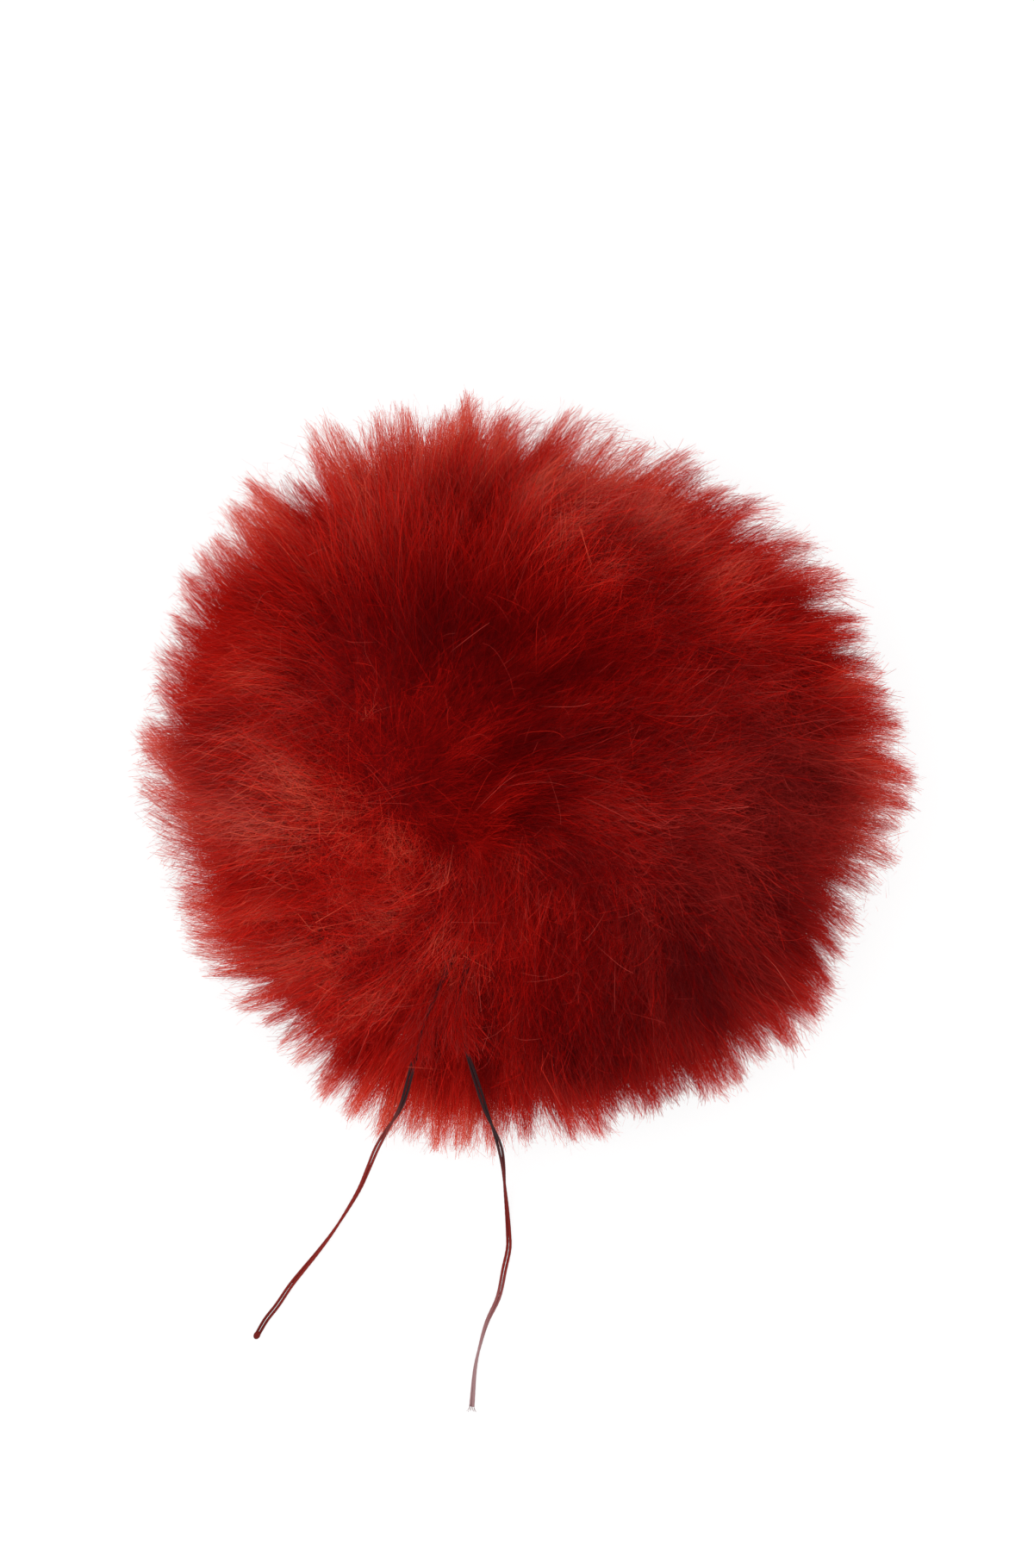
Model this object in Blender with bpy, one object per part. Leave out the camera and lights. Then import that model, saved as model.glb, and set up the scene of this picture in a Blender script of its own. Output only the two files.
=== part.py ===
"""A fur pom pom with two doubled tie threads, lying on a flat surface.

Lengths named here are in millimetres and become metres when a mesh is made.
+Z is up, +X is the picture's right and +Y its top. The origin is on the
surface, under the middle of the ball.

fur_ball   dense backing, with four-sided locks of pile fused to it at their roots
tie_left   doubled thread that leaves the pile and lies to the lower left
tie_right  doubled thread that leaves the pile and lies straight down
"""
import math
import random

import bmesh
import bpy
from mathutils import Matrix, Vector, noise

MM = 0.001

# Backing: a squat ball with a flat underside, held off the surface by its short locks.
BACKING_RADIUS = 47.0
BACKING_WAIST = 34.0
BACKING_TOP = 74.0
BACKING_FOOT = 5.0
BACKING_UNDER = 38.0
BACKING_SHOULDER = 1.05

# Pile: how high the tips of the locks stand, and how the pile falls to the surface.
PILE_TOP = 86.0
PILE_UNDER = 38.0
PILE_SHOULDER = 1.1
RIM_HEIGHT = 32.0
RIM_SAG = 18.0
RIM_SAG_AZIMUTH = 258.0
RIM_SAG_WIDTH = 40.0
TIP_PAST_OUTLINE = 2.0

# Outline of the pile from above: azimuth in degrees, reach from the axis in mm.
OUTLINE = (
    (0.0, 69.6), (22.5, 66.9), (45.0, 65.2), (67.5, 64.2), (90.0, 64.6), (107.0, 67.8),
    (121.0, 71.6), (135.0, 70.0), (157.5, 67.7), (180.0, 67.2), (202.5, 64.6), (225.0, 64.8),
    (247.5, 69.0), (270.0, 67.0), (292.5, 65.2), (315.0, 68.6), (337.5, 66.4),
)

# Lay of the pile: azimuth in degrees, and how far a lock turns off the straight way out
# from the parting, in degrees, counter-clockwise from above. A lock also leans away from
# the parting, droops, and waves with its neighbours.
PILE_TURN = (
    (0.0, -8.0), (30.0, -26.0), (60.0, -36.0), (90.0, -22.0), (120.0, -14.0), (150.0, -22.0),
    (180.0, -34.0), (210.0, -26.0), (240.0, -8.0), (262.0, 3.0), (285.0, -6.0), (310.0, -16.0),
    (335.0, -12.0),
)
PARTING = Vector((-0.13, -0.18, 1.0)).normalized()
LEAN = 0.48
UNDERSIDE_LEAN = 0.15
DROOP = 0.10
ROOT_SHARE = 0.55
WAVE_SIZE = 2.1
WAVE_TURN = 0.10

# Locks: a grid of this many by this many on each of the ball's six sides.
LOCKS_ACROSS = 7
GRID_TWIST = 17.0
GRID_SHIFT = 0.24
TIP_SHIFT = 0.20
LENGTH_WAVE = 0.16
LENGTH_SPREAD = 0.10
LOCK_SEED = 24

# Sections of a lock: share of its length, and width as a share of its root.
LOCK_SECTIONS = ((0.34, 0.74), (0.70, 0.44), (1.0, 0.11))
FOOT_SECTIONS = ((0.5, 0.70), (1.0, 0.46))
REST_SECTIONS = ((0.5, 0.90), (1.0, 0.82))
FOOT_ELEVATION = -0.60
REST_ELEVATION = -0.99

# Tie threads: two plies side by side, which turn slowly round each other.
PLY_DIAMETER = 0.6
PLY_CORNERS = (-115.0, -40.0, 40.0, 115.0)
PLY_VALLEY = 0.16
TIE_LAY = 32.0
TIE_STEPS = 76
ROUTE_FINENESS = 24

# A lock beside a thread is trimmed, a step at a time, until it clears the thread.
TIE_CLEARANCE = 1.5
TRIM_STEP = 0.88
SHORTEST_LOCK = 0.10
LINE_SHARES = (0.25, 0.5, 0.75, 1.0)

# Ends of the threads: places along them in mm back from the free end, and thickness
# as a share of the thread's. The left one is sealed into a bead, the right one splays.
SEALED_END = ((0.0, 0.55), (1.2, 1.12), (2.6, 1.1), (4.5, 1.0))
SPLAYED_END = ((0.0, 1.15), (1.6, 1.1), (4.0, 1.0))

# Where the threads leave the backing, in plan; no lock stands there.
TIE_ROOT = Vector((-9.0, -30.2))

# Routes of the threads, from the backing to their free ends: x, y and z in mm.
LEFT_ROUTE = (
    (-11.1, -29.8, 62.85), (-11.6, -31.4, 64.9), (-13.2, -35.8, 67.4), (-15.4, -40.8, 68.2),
    (-17.4, -45.6, 65.6), (-19.4, -53.1, 56.6), (-21.6, -60.8, 42.8), (-24.5, -65.9, 25.0),
    (-26.5, -69.6, 12.8), (-28.0, -73.2, 5.6), (-29.8, -77.4, 2.0), (-32.1, -81.4, 0.85),
    (-34.9, -85.7, 0.65), (-37.7, -89.4, 0.65), (-40.4, -92.7, 0.65), (-42.8, -95.7, 0.65),
    (-45.3, -99.4, 0.65), (-47.4, -102.1, 0.65), (-49.1, -105.0, 0.65),
)
RIGHT_ROUTE = (
    (-8.3, -30.2, 63.3), (-8.8, -31.8, 65.4), (-9.8, -36.0, 67.9), (-11.2, -41.0, 69.0),
    (-11.2, -46.0, 66.7), (-9.2, -51.5, 61.0), (-7.5, -57.0, 53.4), (-6.1, -61.6, 45.0),
    (-4.6, -65.6, 33.5), (-3.5, -69.2, 21.0), (-2.9, -73.0, 10.5), (-2.6, -77.0, 4.4),
    (-2.2, -81.5, 1.5), (-1.9, -86.0, 0.7), (-1.9, -88.8, 0.65), (-2.7, -92.6, 0.65),
    (-3.8, -97.8, 0.65), (-5.9, -102.4, 0.65), (-7.2, -106.7, 0.65), (-8.2, -111.4, 0.65),
    (-8.8, -118.4, 0.65),
)

DYED_FUR = (0.165, 0.006, 0.005)
DARK_THREAD = (0.055, 0.012, 0.014)
RED_THREAD = (0.24, 0.03, 0.028)


def clear_scene():
    """Remove every object the scene starts with."""
    for thing in list(bpy.data.objects):
        bpy.data.objects.remove(thing, do_unlink=True)


def make_material(name, colour, roughness):
    """A plain material for one kind of fibre."""
    material = bpy.data.materials.new(name)
    material.use_nodes = True
    shader = material.node_tree.nodes["Principled BSDF"]
    shader.inputs["Base Color"].default_value = (*colour, 1.0)
    shader.inputs["Roughness"].default_value = roughness
    shader.inputs["Metallic"].default_value = 0.0
    return material


def round_table(table, azimuth):
    """Smooth value at an azimuth in degrees from a table that runs round the ball."""
    azimuth %= 360.0
    count = len(table)
    start = max(i for i in range(count) if table[i][0] <= azimuth)
    angles = [table[(start + k) % count][0] + 360.0 * ((start + k) // count) for k in (-1, 0, 1, 2)]
    values = [table[(start + k) % count][1] for k in (-1, 0, 1, 2)]
    span = angles[2] - angles[1]
    share = (azimuth - angles[1]) / span
    slope_in = (values[2] - values[0]) / (angles[2] - angles[0]) * span
    slope_out = (values[3] - values[1]) / (angles[3] - angles[1]) * span
    square = share * share
    cube = square * share
    return (
        (2 * cube - 3 * square + 1) * values[1] + (cube - 2 * square + share) * slope_in
        + (3 * square - 2 * cube) * values[2] + (cube - square) * slope_out
    )


def squat_ball(direction, radius, waist, top, shoulder, under, floor):
    """Point of a squat ball in one direction, widest at its waist and flat at its floor."""
    if direction.z >= 0.0:
        height = waist + (top - waist) * direction.z ** shoulder
    else:
        height = max(floor, waist + under * direction.z)
    return Vector((radius * direction.x, radius * direction.y, height))


def pile_point(direction, depth):
    """Point of the pile in one direction: depth 0 is the backing and 1 the mean tips."""
    azimuth = math.degrees(math.atan2(direction.y, direction.x)) % 360.0
    reach = round_table(OUTLINE, azimuth) + TIP_PAST_OUTLINE
    off_sag = (azimuth - RIM_SAG_AZIMUTH + 180.0) % 360.0 - 180.0
    rim = RIM_HEIGHT - RIM_SAG * math.exp(-((off_sag / RIM_SAG_WIDTH) ** 2))
    root = squat_ball(direction, BACKING_RADIUS, BACKING_WAIST, BACKING_TOP,
                      BACKING_SHOULDER, BACKING_UNDER, BACKING_FOOT)
    tip = squat_ball(direction, reach, rim, PILE_TOP, PILE_SHOULDER, PILE_UNDER, 0.0)
    point = root.lerp(tip, depth)
    point.z = max(point.z, 0.0)
    return point


def laid(direction, depth):
    """Direction that a lock rooted in one direction has come to at a depth in the pile."""
    tilt = PARTING.angle(direction)
    out = (direction - PARTING * math.cos(tilt)) / max(math.sin(tilt), 1e-6)
    side = PARTING.cross(out)
    parted = LEAN if tilt < math.pi / 2.0 else UNDERSIDE_LEAN
    lean = (parted * math.cos(tilt) + DROOP) * math.sin(tilt) ** 2
    azimuth = math.degrees(math.atan2(direction.y, direction.x))
    turn = math.tan(math.radians(round_table(PILE_TURN, azimuth)))
    outward = math.sin(tilt + lean) - math.sin(tilt) * ROOT_SHARE
    swing = turn * outward * math.sin(tilt) + WAVE_TURN * noise.noise(direction * WAVE_SIZE)
    swing *= depth ** 1.2
    tilt += lean * depth
    return (
        PARTING * math.cos(tilt) + out * (math.sin(tilt) * math.cos(swing))
        + side * (math.sin(tilt) * math.sin(swing))
    ).normalized()


def grid_directions():
    """Directions of the corners of a slightly uneven grid, and the four corners of each root."""
    chance = random.Random(LOCK_SEED)
    steps = [math.tan(math.radians(90.0 * k / LOCKS_ACROSS - 45.0)) for k in range(LOCKS_ACROSS + 1)]
    twist = Matrix.Rotation(math.radians(GRID_TWIST), 3, "Z")
    frames = [
        (Vector((0, 0, 1)), Vector((1, 0, 0)), Vector((0, 1, 0))),
        (Vector((0, 0, -1)), Vector((0, 1, 0)), Vector((1, 0, 0))),
        (Vector((1, 0, 0)), Vector((0, 1, 0)), Vector((0, 0, 1))),
        (Vector((-1, 0, 0)), Vector((0, 0, 1)), Vector((0, 1, 0))),
        (Vector((0, 1, 0)), Vector((0, 0, 1)), Vector((1, 0, 0))),
        (Vector((0, -1, 0)), Vector((1, 0, 0)), Vector((0, 0, 1))),
    ]
    pitch = math.radians(90.0 / LOCKS_ACROSS)
    corners = {}
    roots = []
    for facing, across, along in frames:
        for row in range(LOCKS_ACROSS):
            for column in range(LOCKS_ACROSS):
                root = []
                for step_across, step_along in ((0, 0), (1, 0), (1, 1), (0, 1)):
                    even = (facing + across * steps[column + step_across]
                            + along * steps[row + step_along]).normalized()
                    key = tuple(round(value, 4) for value in even)
                    if key not in corners:
                        shift = Vector([chance.uniform(-1, 1) for _ in range(3)])
                        shift -= even * shift.dot(even)
                        corners[key] = twist @ (even + shift * GRID_SHIFT * pitch).normalized()
                    root.append(key)
                roots.append(root)
    return corners, roots


def lock_rings(corners, sections, length, tip_shift):
    """Rings of a lock's four edges, from the one above its root to its tip."""
    middle = sum(corners, Vector()).normalized()
    rings = []
    for share, width in sections:
        depth = share * length
        moved = middle + tip_shift * share * share
        rings.append([
            pile_point(laid((moved + (corner - middle) * width).normalized(), depth), depth)
            for corner in corners
        ])
    return rings


def clears(root, rings, routes):
    """Whether a lock's edges and middle line stay clear of every thread."""
    lines = list(zip(root, *rings))
    lines.append([sum(ring, Vector()) / len(ring) for ring in (root, *rings)])
    for line in lines:
        for start, end in zip(line, line[1:]):
            for share in LINE_SHARES:
                place = start.lerp(end, share)
                if any((place - point).length < TIE_CLEARANCE for route in routes for point in route):
                    return False
    return True


def thread_route(route, steps):
    """Evenly spaced points on a smooth curve through a route's own points."""
    points = [Vector(place) for place in route]
    points = [2 * points[0] - points[1], *points, 2 * points[-1] - points[-2]]
    fine = []
    for before, start, end, after in zip(points, points[1:], points[2:], points[3:]):
        for k in range(ROUTE_FINENESS):
            t = k / ROUTE_FINENESS
            fine.append(0.5 * (
                2 * start + (end - before) * t + (2 * before - 5 * start + 4 * end - after) * t * t
                + (3 * start - before - 3 * end + after) * t ** 3
            ))
    fine.append(points[-2])
    lengths = [0.0]
    for start, end in zip(fine, fine[1:]):
        lengths.append(lengths[-1] + (end - start).length)
    even = []
    place = 0
    for k in range(steps):
        wanted = lengths[-1] * k / (steps - 1)
        while place < len(lengths) - 2 and lengths[place + 1] < wanted:
            place += 1
        share = (wanted - lengths[place]) / (lengths[place + 1] - lengths[place])
        even.append(fine[place].lerp(fine[place + 1], share))
    return even, lengths[-1]


def build_fur_ball(routes):
    """The backing with a lock of pile drawn out of each of its patches."""
    chance = random.Random(LOCK_SEED + 1)
    directions, roots = grid_directions()
    pile = bmesh.new()
    vertices = {key: pile.verts.new(pile_point(direction, 0.0)) for key, direction in directions.items()}
    patches = [pile.faces.new([vertices[key] for key in root]) for root in roots]
    middles = [sum((directions[key] for key in root), Vector()).normalized() for root in roots]
    bare = min(
        (k for k in range(len(roots)) if middles[k].z > 0.0),
        key=lambda k: (pile_point(middles[k], 0.0).xy - TIE_ROOT).length,
    )
    for k, (patch, root) in enumerate(zip(patches, roots)):
        shift = Vector([chance.uniform(-1, 1) for _ in range(3)])
        spread = chance.uniform(-1, 1)
        if k == bare:
            continue
        middle = middles[k]
        corners = [directions[key] for key in root]
        if middle.z < REST_ELEVATION:
            rings = lock_rings(corners, REST_SECTIONS, 1.0, Vector())
        elif middle.z < FOOT_ELEVATION:
            rings = lock_rings(corners, FOOT_SECTIONS, 1.0, Vector())
        else:
            pitch = (corners[0] - corners[2]).length * math.sqrt(0.5)
            tip_shift = (shift - middle * shift.dot(middle)) * TIP_SHIFT * pitch
            length = 1.0 + LENGTH_WAVE * noise.noise(middle * WAVE_SIZE * 2) + LENGTH_SPREAD * spread
            rings = lock_rings(corners, LOCK_SECTIONS, length, tip_shift)
            places = [pile_point(corner, 0.0) for corner in corners]
            while length > SHORTEST_LOCK and not clears(places, rings, routes):
                length *= TRIM_STEP
                rings = lock_rings(corners, LOCK_SECTIONS, length, tip_shift)
        draw_out(pile, patch, rings)
    bmesh.ops.recalc_face_normals(pile, faces=pile.faces)
    bmesh.ops.scale(pile, vec=(MM, MM, MM), verts=pile.verts)
    mesh = bpy.data.meshes.new("fur_ball")
    pile.to_mesh(mesh)
    pile.free()
    mesh.shade_smooth()
    mesh.set_sharp_from_angle(angle=math.radians(50.0))
    mesh.materials.append(make_material("dyed_fur", DYED_FUR, 0.6))
    ball = bpy.data.objects.new("fur_ball", mesh)
    bpy.context.collection.objects.link(ball)
    return ball


def draw_out(pile, patch, rings):
    """Extrude one patch through the rings of its lock."""
    for ring in rings:
        before = [vertex.co.copy() for vertex in patch.verts]
        patch = bmesh.ops.extrude_discrete_faces(pile, faces=[patch])["faces"][0]
        for vertex in patch.verts:
            vertex.co = ring[before.index(vertex.co)]


def build_ply_section():
    """Closed guide curve: the outline across two plies that lie side by side."""
    radius = PLY_DIAMETER / 2.0
    right = [
        (radius + radius * math.cos(math.radians(a)), radius * math.sin(math.radians(a)))
        for a in PLY_CORNERS
    ]
    outline = [*right, (0.0, PLY_VALLEY), *[(-x, -y) for x, y in right], (0.0, -PLY_VALLEY)]
    outline.reverse()
    curve = bpy.data.curves.new("ply_section", "CURVE")
    curve.dimensions = "2D"
    curve.fill_mode = "NONE"
    spline = curve.splines.new("POLY")
    spline.points.add(len(outline) - 1)
    for point, (x, y) in zip(spline.points, outline):
        point.co = (x * MM, y * MM, 0.0, 1.0)
    spline.use_cyclic_u = True
    guide = bpy.data.objects.new("ply_section", curve)
    guide.hide_render = True
    guide.display_type = "WIRE"
    bpy.context.collection.objects.link(guide)
    return guide


def end_thickness(ending, back):
    """Thickness of a thread, as a share of its own, at a distance back from its free end."""
    for (near, thick_near), (far, thick_far) in zip(ending, ending[1:]):
        if back <= far:
            return thick_near + (thick_far - thick_near) * (back - near) / (far - near)
    return 1.0


def build_tie(name, points, length, section, ending, material):
    """One tie: two plies along a route, which turn round each other once in each lay."""
    curve = bpy.data.curves.new(name, "CURVE")
    curve.dimensions = "3D"
    curve.bevel_mode = "OBJECT"
    curve.bevel_object = section
    curve.use_fill_caps = True
    spline = curve.splines.new("POLY")
    spline.points.add(len(points) - 1)
    for k, (point, place) in enumerate(zip(spline.points, points)):
        run = length * k / (len(points) - 1)
        point.co = (*(place * MM), 1.0)
        point.tilt = 2.0 * math.pi * run / TIE_LAY
        point.radius = end_thickness(ending, length - run)
    curve.materials.append(material)
    tie = bpy.data.objects.new(name, curve)
    bpy.context.collection.objects.link(tie)
    return tie


def main():
    """Build the ball and its two ties."""
    clear_scene()
    left, left_length = thread_route(LEFT_ROUTE, TIE_STEPS)
    right, right_length = thread_route(RIGHT_ROUTE, TIE_STEPS)
    build_fur_ball((left, right))
    section = build_ply_section()
    dark = make_material("dark_thread", DARK_THREAD, 0.5)
    red = make_material("red_thread", RED_THREAD, 0.5)
    build_tie("tie_left", left, left_length, section, SEALED_END, red)
    build_tie("tie_right", right, right_length, section, SPLAYED_END, dark)


main()
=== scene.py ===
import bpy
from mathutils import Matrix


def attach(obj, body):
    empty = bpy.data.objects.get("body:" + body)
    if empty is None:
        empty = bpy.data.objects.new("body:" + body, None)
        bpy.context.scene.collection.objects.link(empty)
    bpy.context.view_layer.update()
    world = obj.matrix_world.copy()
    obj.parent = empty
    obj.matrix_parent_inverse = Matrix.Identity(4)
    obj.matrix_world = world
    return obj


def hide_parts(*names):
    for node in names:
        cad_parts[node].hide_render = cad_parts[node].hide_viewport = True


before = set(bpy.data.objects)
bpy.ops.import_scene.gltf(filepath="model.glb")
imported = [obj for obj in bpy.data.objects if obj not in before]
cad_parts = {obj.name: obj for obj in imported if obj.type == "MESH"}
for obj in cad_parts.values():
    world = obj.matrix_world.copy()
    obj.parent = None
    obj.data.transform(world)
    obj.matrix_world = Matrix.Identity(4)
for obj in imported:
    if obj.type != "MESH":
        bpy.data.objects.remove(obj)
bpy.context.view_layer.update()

"""A long-pile fur pom pom with two doubled tie threads, seen from straight above.

The pile is grown strand by strand over the solid ball, along the same lay as its
locks, and each tie is two plies of yarn that turn round each other. Lengths named
here are in millimetres unless they say otherwise, and places are in the frame of
the solids: +Z up, +X the picture's right, +Y its top.
"""
import logging
import math
from dataclasses import dataclass
from enum import Enum

import bpy
import numpy as np
from mathutils import Vector
from mathutils.kdtree import KDTree

MM = 0.001
BODY = "root"
UV_NAME = "OFBake"
FULL_TURN = 2.0 * math.pi
BALL_MIDDLE = np.array((0.0, 0.0, 22.0))
Stops = tuple[tuple[float, tuple[float, float, float]], ...]
Rows = tuple[tuple[float, ...], ...]

log = logging.getLogger("pom_pom")


class PileSide(Enum):
    """The parts of the pile, by the side of the ball that they grow on."""

    RIGHT = "pile_right"
    UPPER = "pile_upper"
    LEFT = "pile_left"
    LOWER_LEFT = "pile_lower_left"
    LOWER_RIGHT = "pile_lower_right"


class StrandKind(Enum):
    """The kinds of hair in the pile."""

    GUARD = "long hair that makes the tufts"
    DOWN = "finer hair that fills the pile"
    FUZZ = "short ends that stand every way and soften its surface"
    STRAY = "long pale hair that has worked loose and lies over the pile"


class Paint:
    """A new material: its shader, and short ways to add and link nodes."""

    def __init__(self, name: str, roughness: float, specular: float) -> None:
        """Make the material with a plain shader.

        Args:
            name: The material's name.
            roughness: The shader's roughness.
            specular: Strength of its highlights.
        """
        self.material = bpy.data.materials.new(name)
        self.material.use_nodes = True
        self.shader = self.material.node_tree.nodes["Principled BSDF"]
        self.shader.inputs["Roughness"].default_value = roughness
        self.shader.inputs["Specular IOR Level"].default_value = specular

    def add(self, kind: str, values: dict[str, float | tuple[float, ...]]) -> bpy.types.Node:
        """Add a node.

        Args:
            kind: The node's type.
            values: Its inputs that are set, by name.

        Returns:
            The node.
        """
        node = self.material.node_tree.nodes.new(kind)
        for name, value in values.items():
            node.inputs[name].default_value = value
        return node

    def link(self, source: bpy.types.Node, output: str, target: bpy.types.Node, name: str) -> None:
        """Link a named output of one node to a named input of another."""
        self.material.node_tree.links.new(source.outputs[output], target.inputs[name])

    def own_map(self) -> bpy.types.Node:
        """Add the node that reads the piece's own map."""
        place = self.add("ShaderNodeUVMap", {})
        place.uv_map = UV_NAME
        return place

    def ramp(self, source: bpy.types.Node, output: str, stops: Stops) -> bpy.types.Node:
        """Add a colour ramp that an output of a node drives.

        Args:
            source: The node.
            output: Name of its output.
            stops: Place from 0 to 1, and the linear colour there.

        Returns:
            The ramp.
        """
        ramp = self.add("ShaderNodeValToRGB", {})
        elements = ramp.color_ramp.elements
        while len(elements) < len(stops):
            elements.new(0.5)
        for element, (place, colour) in zip(elements, stops):
            element.position = place
            element.color = (*colour, 1.0)
        self.link(source, output, ramp, "Fac")
        return ramp

    def relief(self, source: bpy.types.Node, strength: float, height: float) -> None:
        """Raise the surface by a pattern.

        Args:
            source: The pattern's node.
            strength: How strongly it shows.
            height: Its height, in metres.
        """
        bump = self.add("ShaderNodeBump", {"Strength": strength, "Distance": height})
        self.link(source, "Fac", bump, "Height")
        self.link(bump, "Normal", self.shader, "Normal")


@dataclass(frozen=True)
class FurFinish:
    """Dyed fur that took two shades: scarlet on one half of the map, plum on the other.

    Attributes:
        scarlet: Tone place from 0 to 1, and the linear colour there.
        plum: The same for the duller hairs.
        painted_root_shade: Share of the tone's brightness left at a hair's root: painted shade, darker
            deep in the pile.
        roughness_root: Roughness where the hair leaves the hide.
        roughness_tip: Roughness at its polished tip.
        specular: Strength of the highlights.
    """

    scarlet: Stops = (
        (0.00, (0.090, 0.0005, 0.0010)),
        (0.25, (0.190, 0.0006, 0.0007)),
        (0.50, (0.345, 0.0036, 0.0022)),
        (0.68, (0.520, 0.0075, 0.0042)),
        (0.86, (0.730, 0.0210, 0.0120)),
        (0.99, (0.790, 0.1000, 0.0550)),
    )
    plum: Stops = (
        (0.00, (0.070, 0.0030, 0.0046)),
        (0.25, (0.160, 0.0065, 0.0066)),
        (0.50, (0.295, 0.0130, 0.0105)),
        (0.75, (0.470, 0.0290, 0.0230)),
        (1.00, (0.690, 0.1000, 0.0760)),
    )
    painted_root_shade: float = 0.7
    roughness_root: float = 0.9
    roughness_tip: float = 0.7
    specular: float = 0.02

    @staticmethod
    def place(tone: np.ndarray, dull: np.ndarray) -> np.ndarray:
        """Place of each hair across the map, from its tone and whether it took duller."""
        return tone * 0.5 + np.where(dull, 0.5, 0.0)

    def make(self, name: str) -> bpy.types.Material:
        """Make the fur material, which reads tone and place along the hair from the map, and paints
        shade that darkens each hair towards its root.

        Args:
            name: The material's name.

        Returns:
            The material.
        """
        paint = Paint(name, self.roughness_tip, self.specular)
        split = paint.add("ShaderNodeSeparateXYZ", {})
        paint.link(paint.own_map(), "UV", split, "Vector")
        halves = [(0.5 * tone, colour) for tone, colour in self.scarlet]
        halves += [(0.5 + 0.5 * tone, colour) for tone, colour in self.plum]
        ramp = paint.ramp(split, "X", tuple(halves))
        # Painted shade: each hair is painted darker towards its root, deep in the pile.
        shade = paint.add("ShaderNodeMapRange", {"To Min": self.painted_root_shade, "To Max": 1.0})
        paint.link(split, "Y", shade, "Value")
        tint = paint.add("ShaderNodeVectorMath", {})
        tint.operation = "SCALE"
        paint.link(ramp, "Color", tint, "Vector")
        paint.link(shade, "Result", tint, "Scale")
        paint.link(tint, "Vector", paint.shader, "Base Color")
        ends = {"To Min": self.roughness_root, "To Max": self.roughness_tip}
        rough = paint.add("ShaderNodeMapRange", ends)
        paint.link(split, "Y", rough, "Value")
        paint.link(rough, "Result", paint.shader, "Roughness")
        return paint.material


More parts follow.
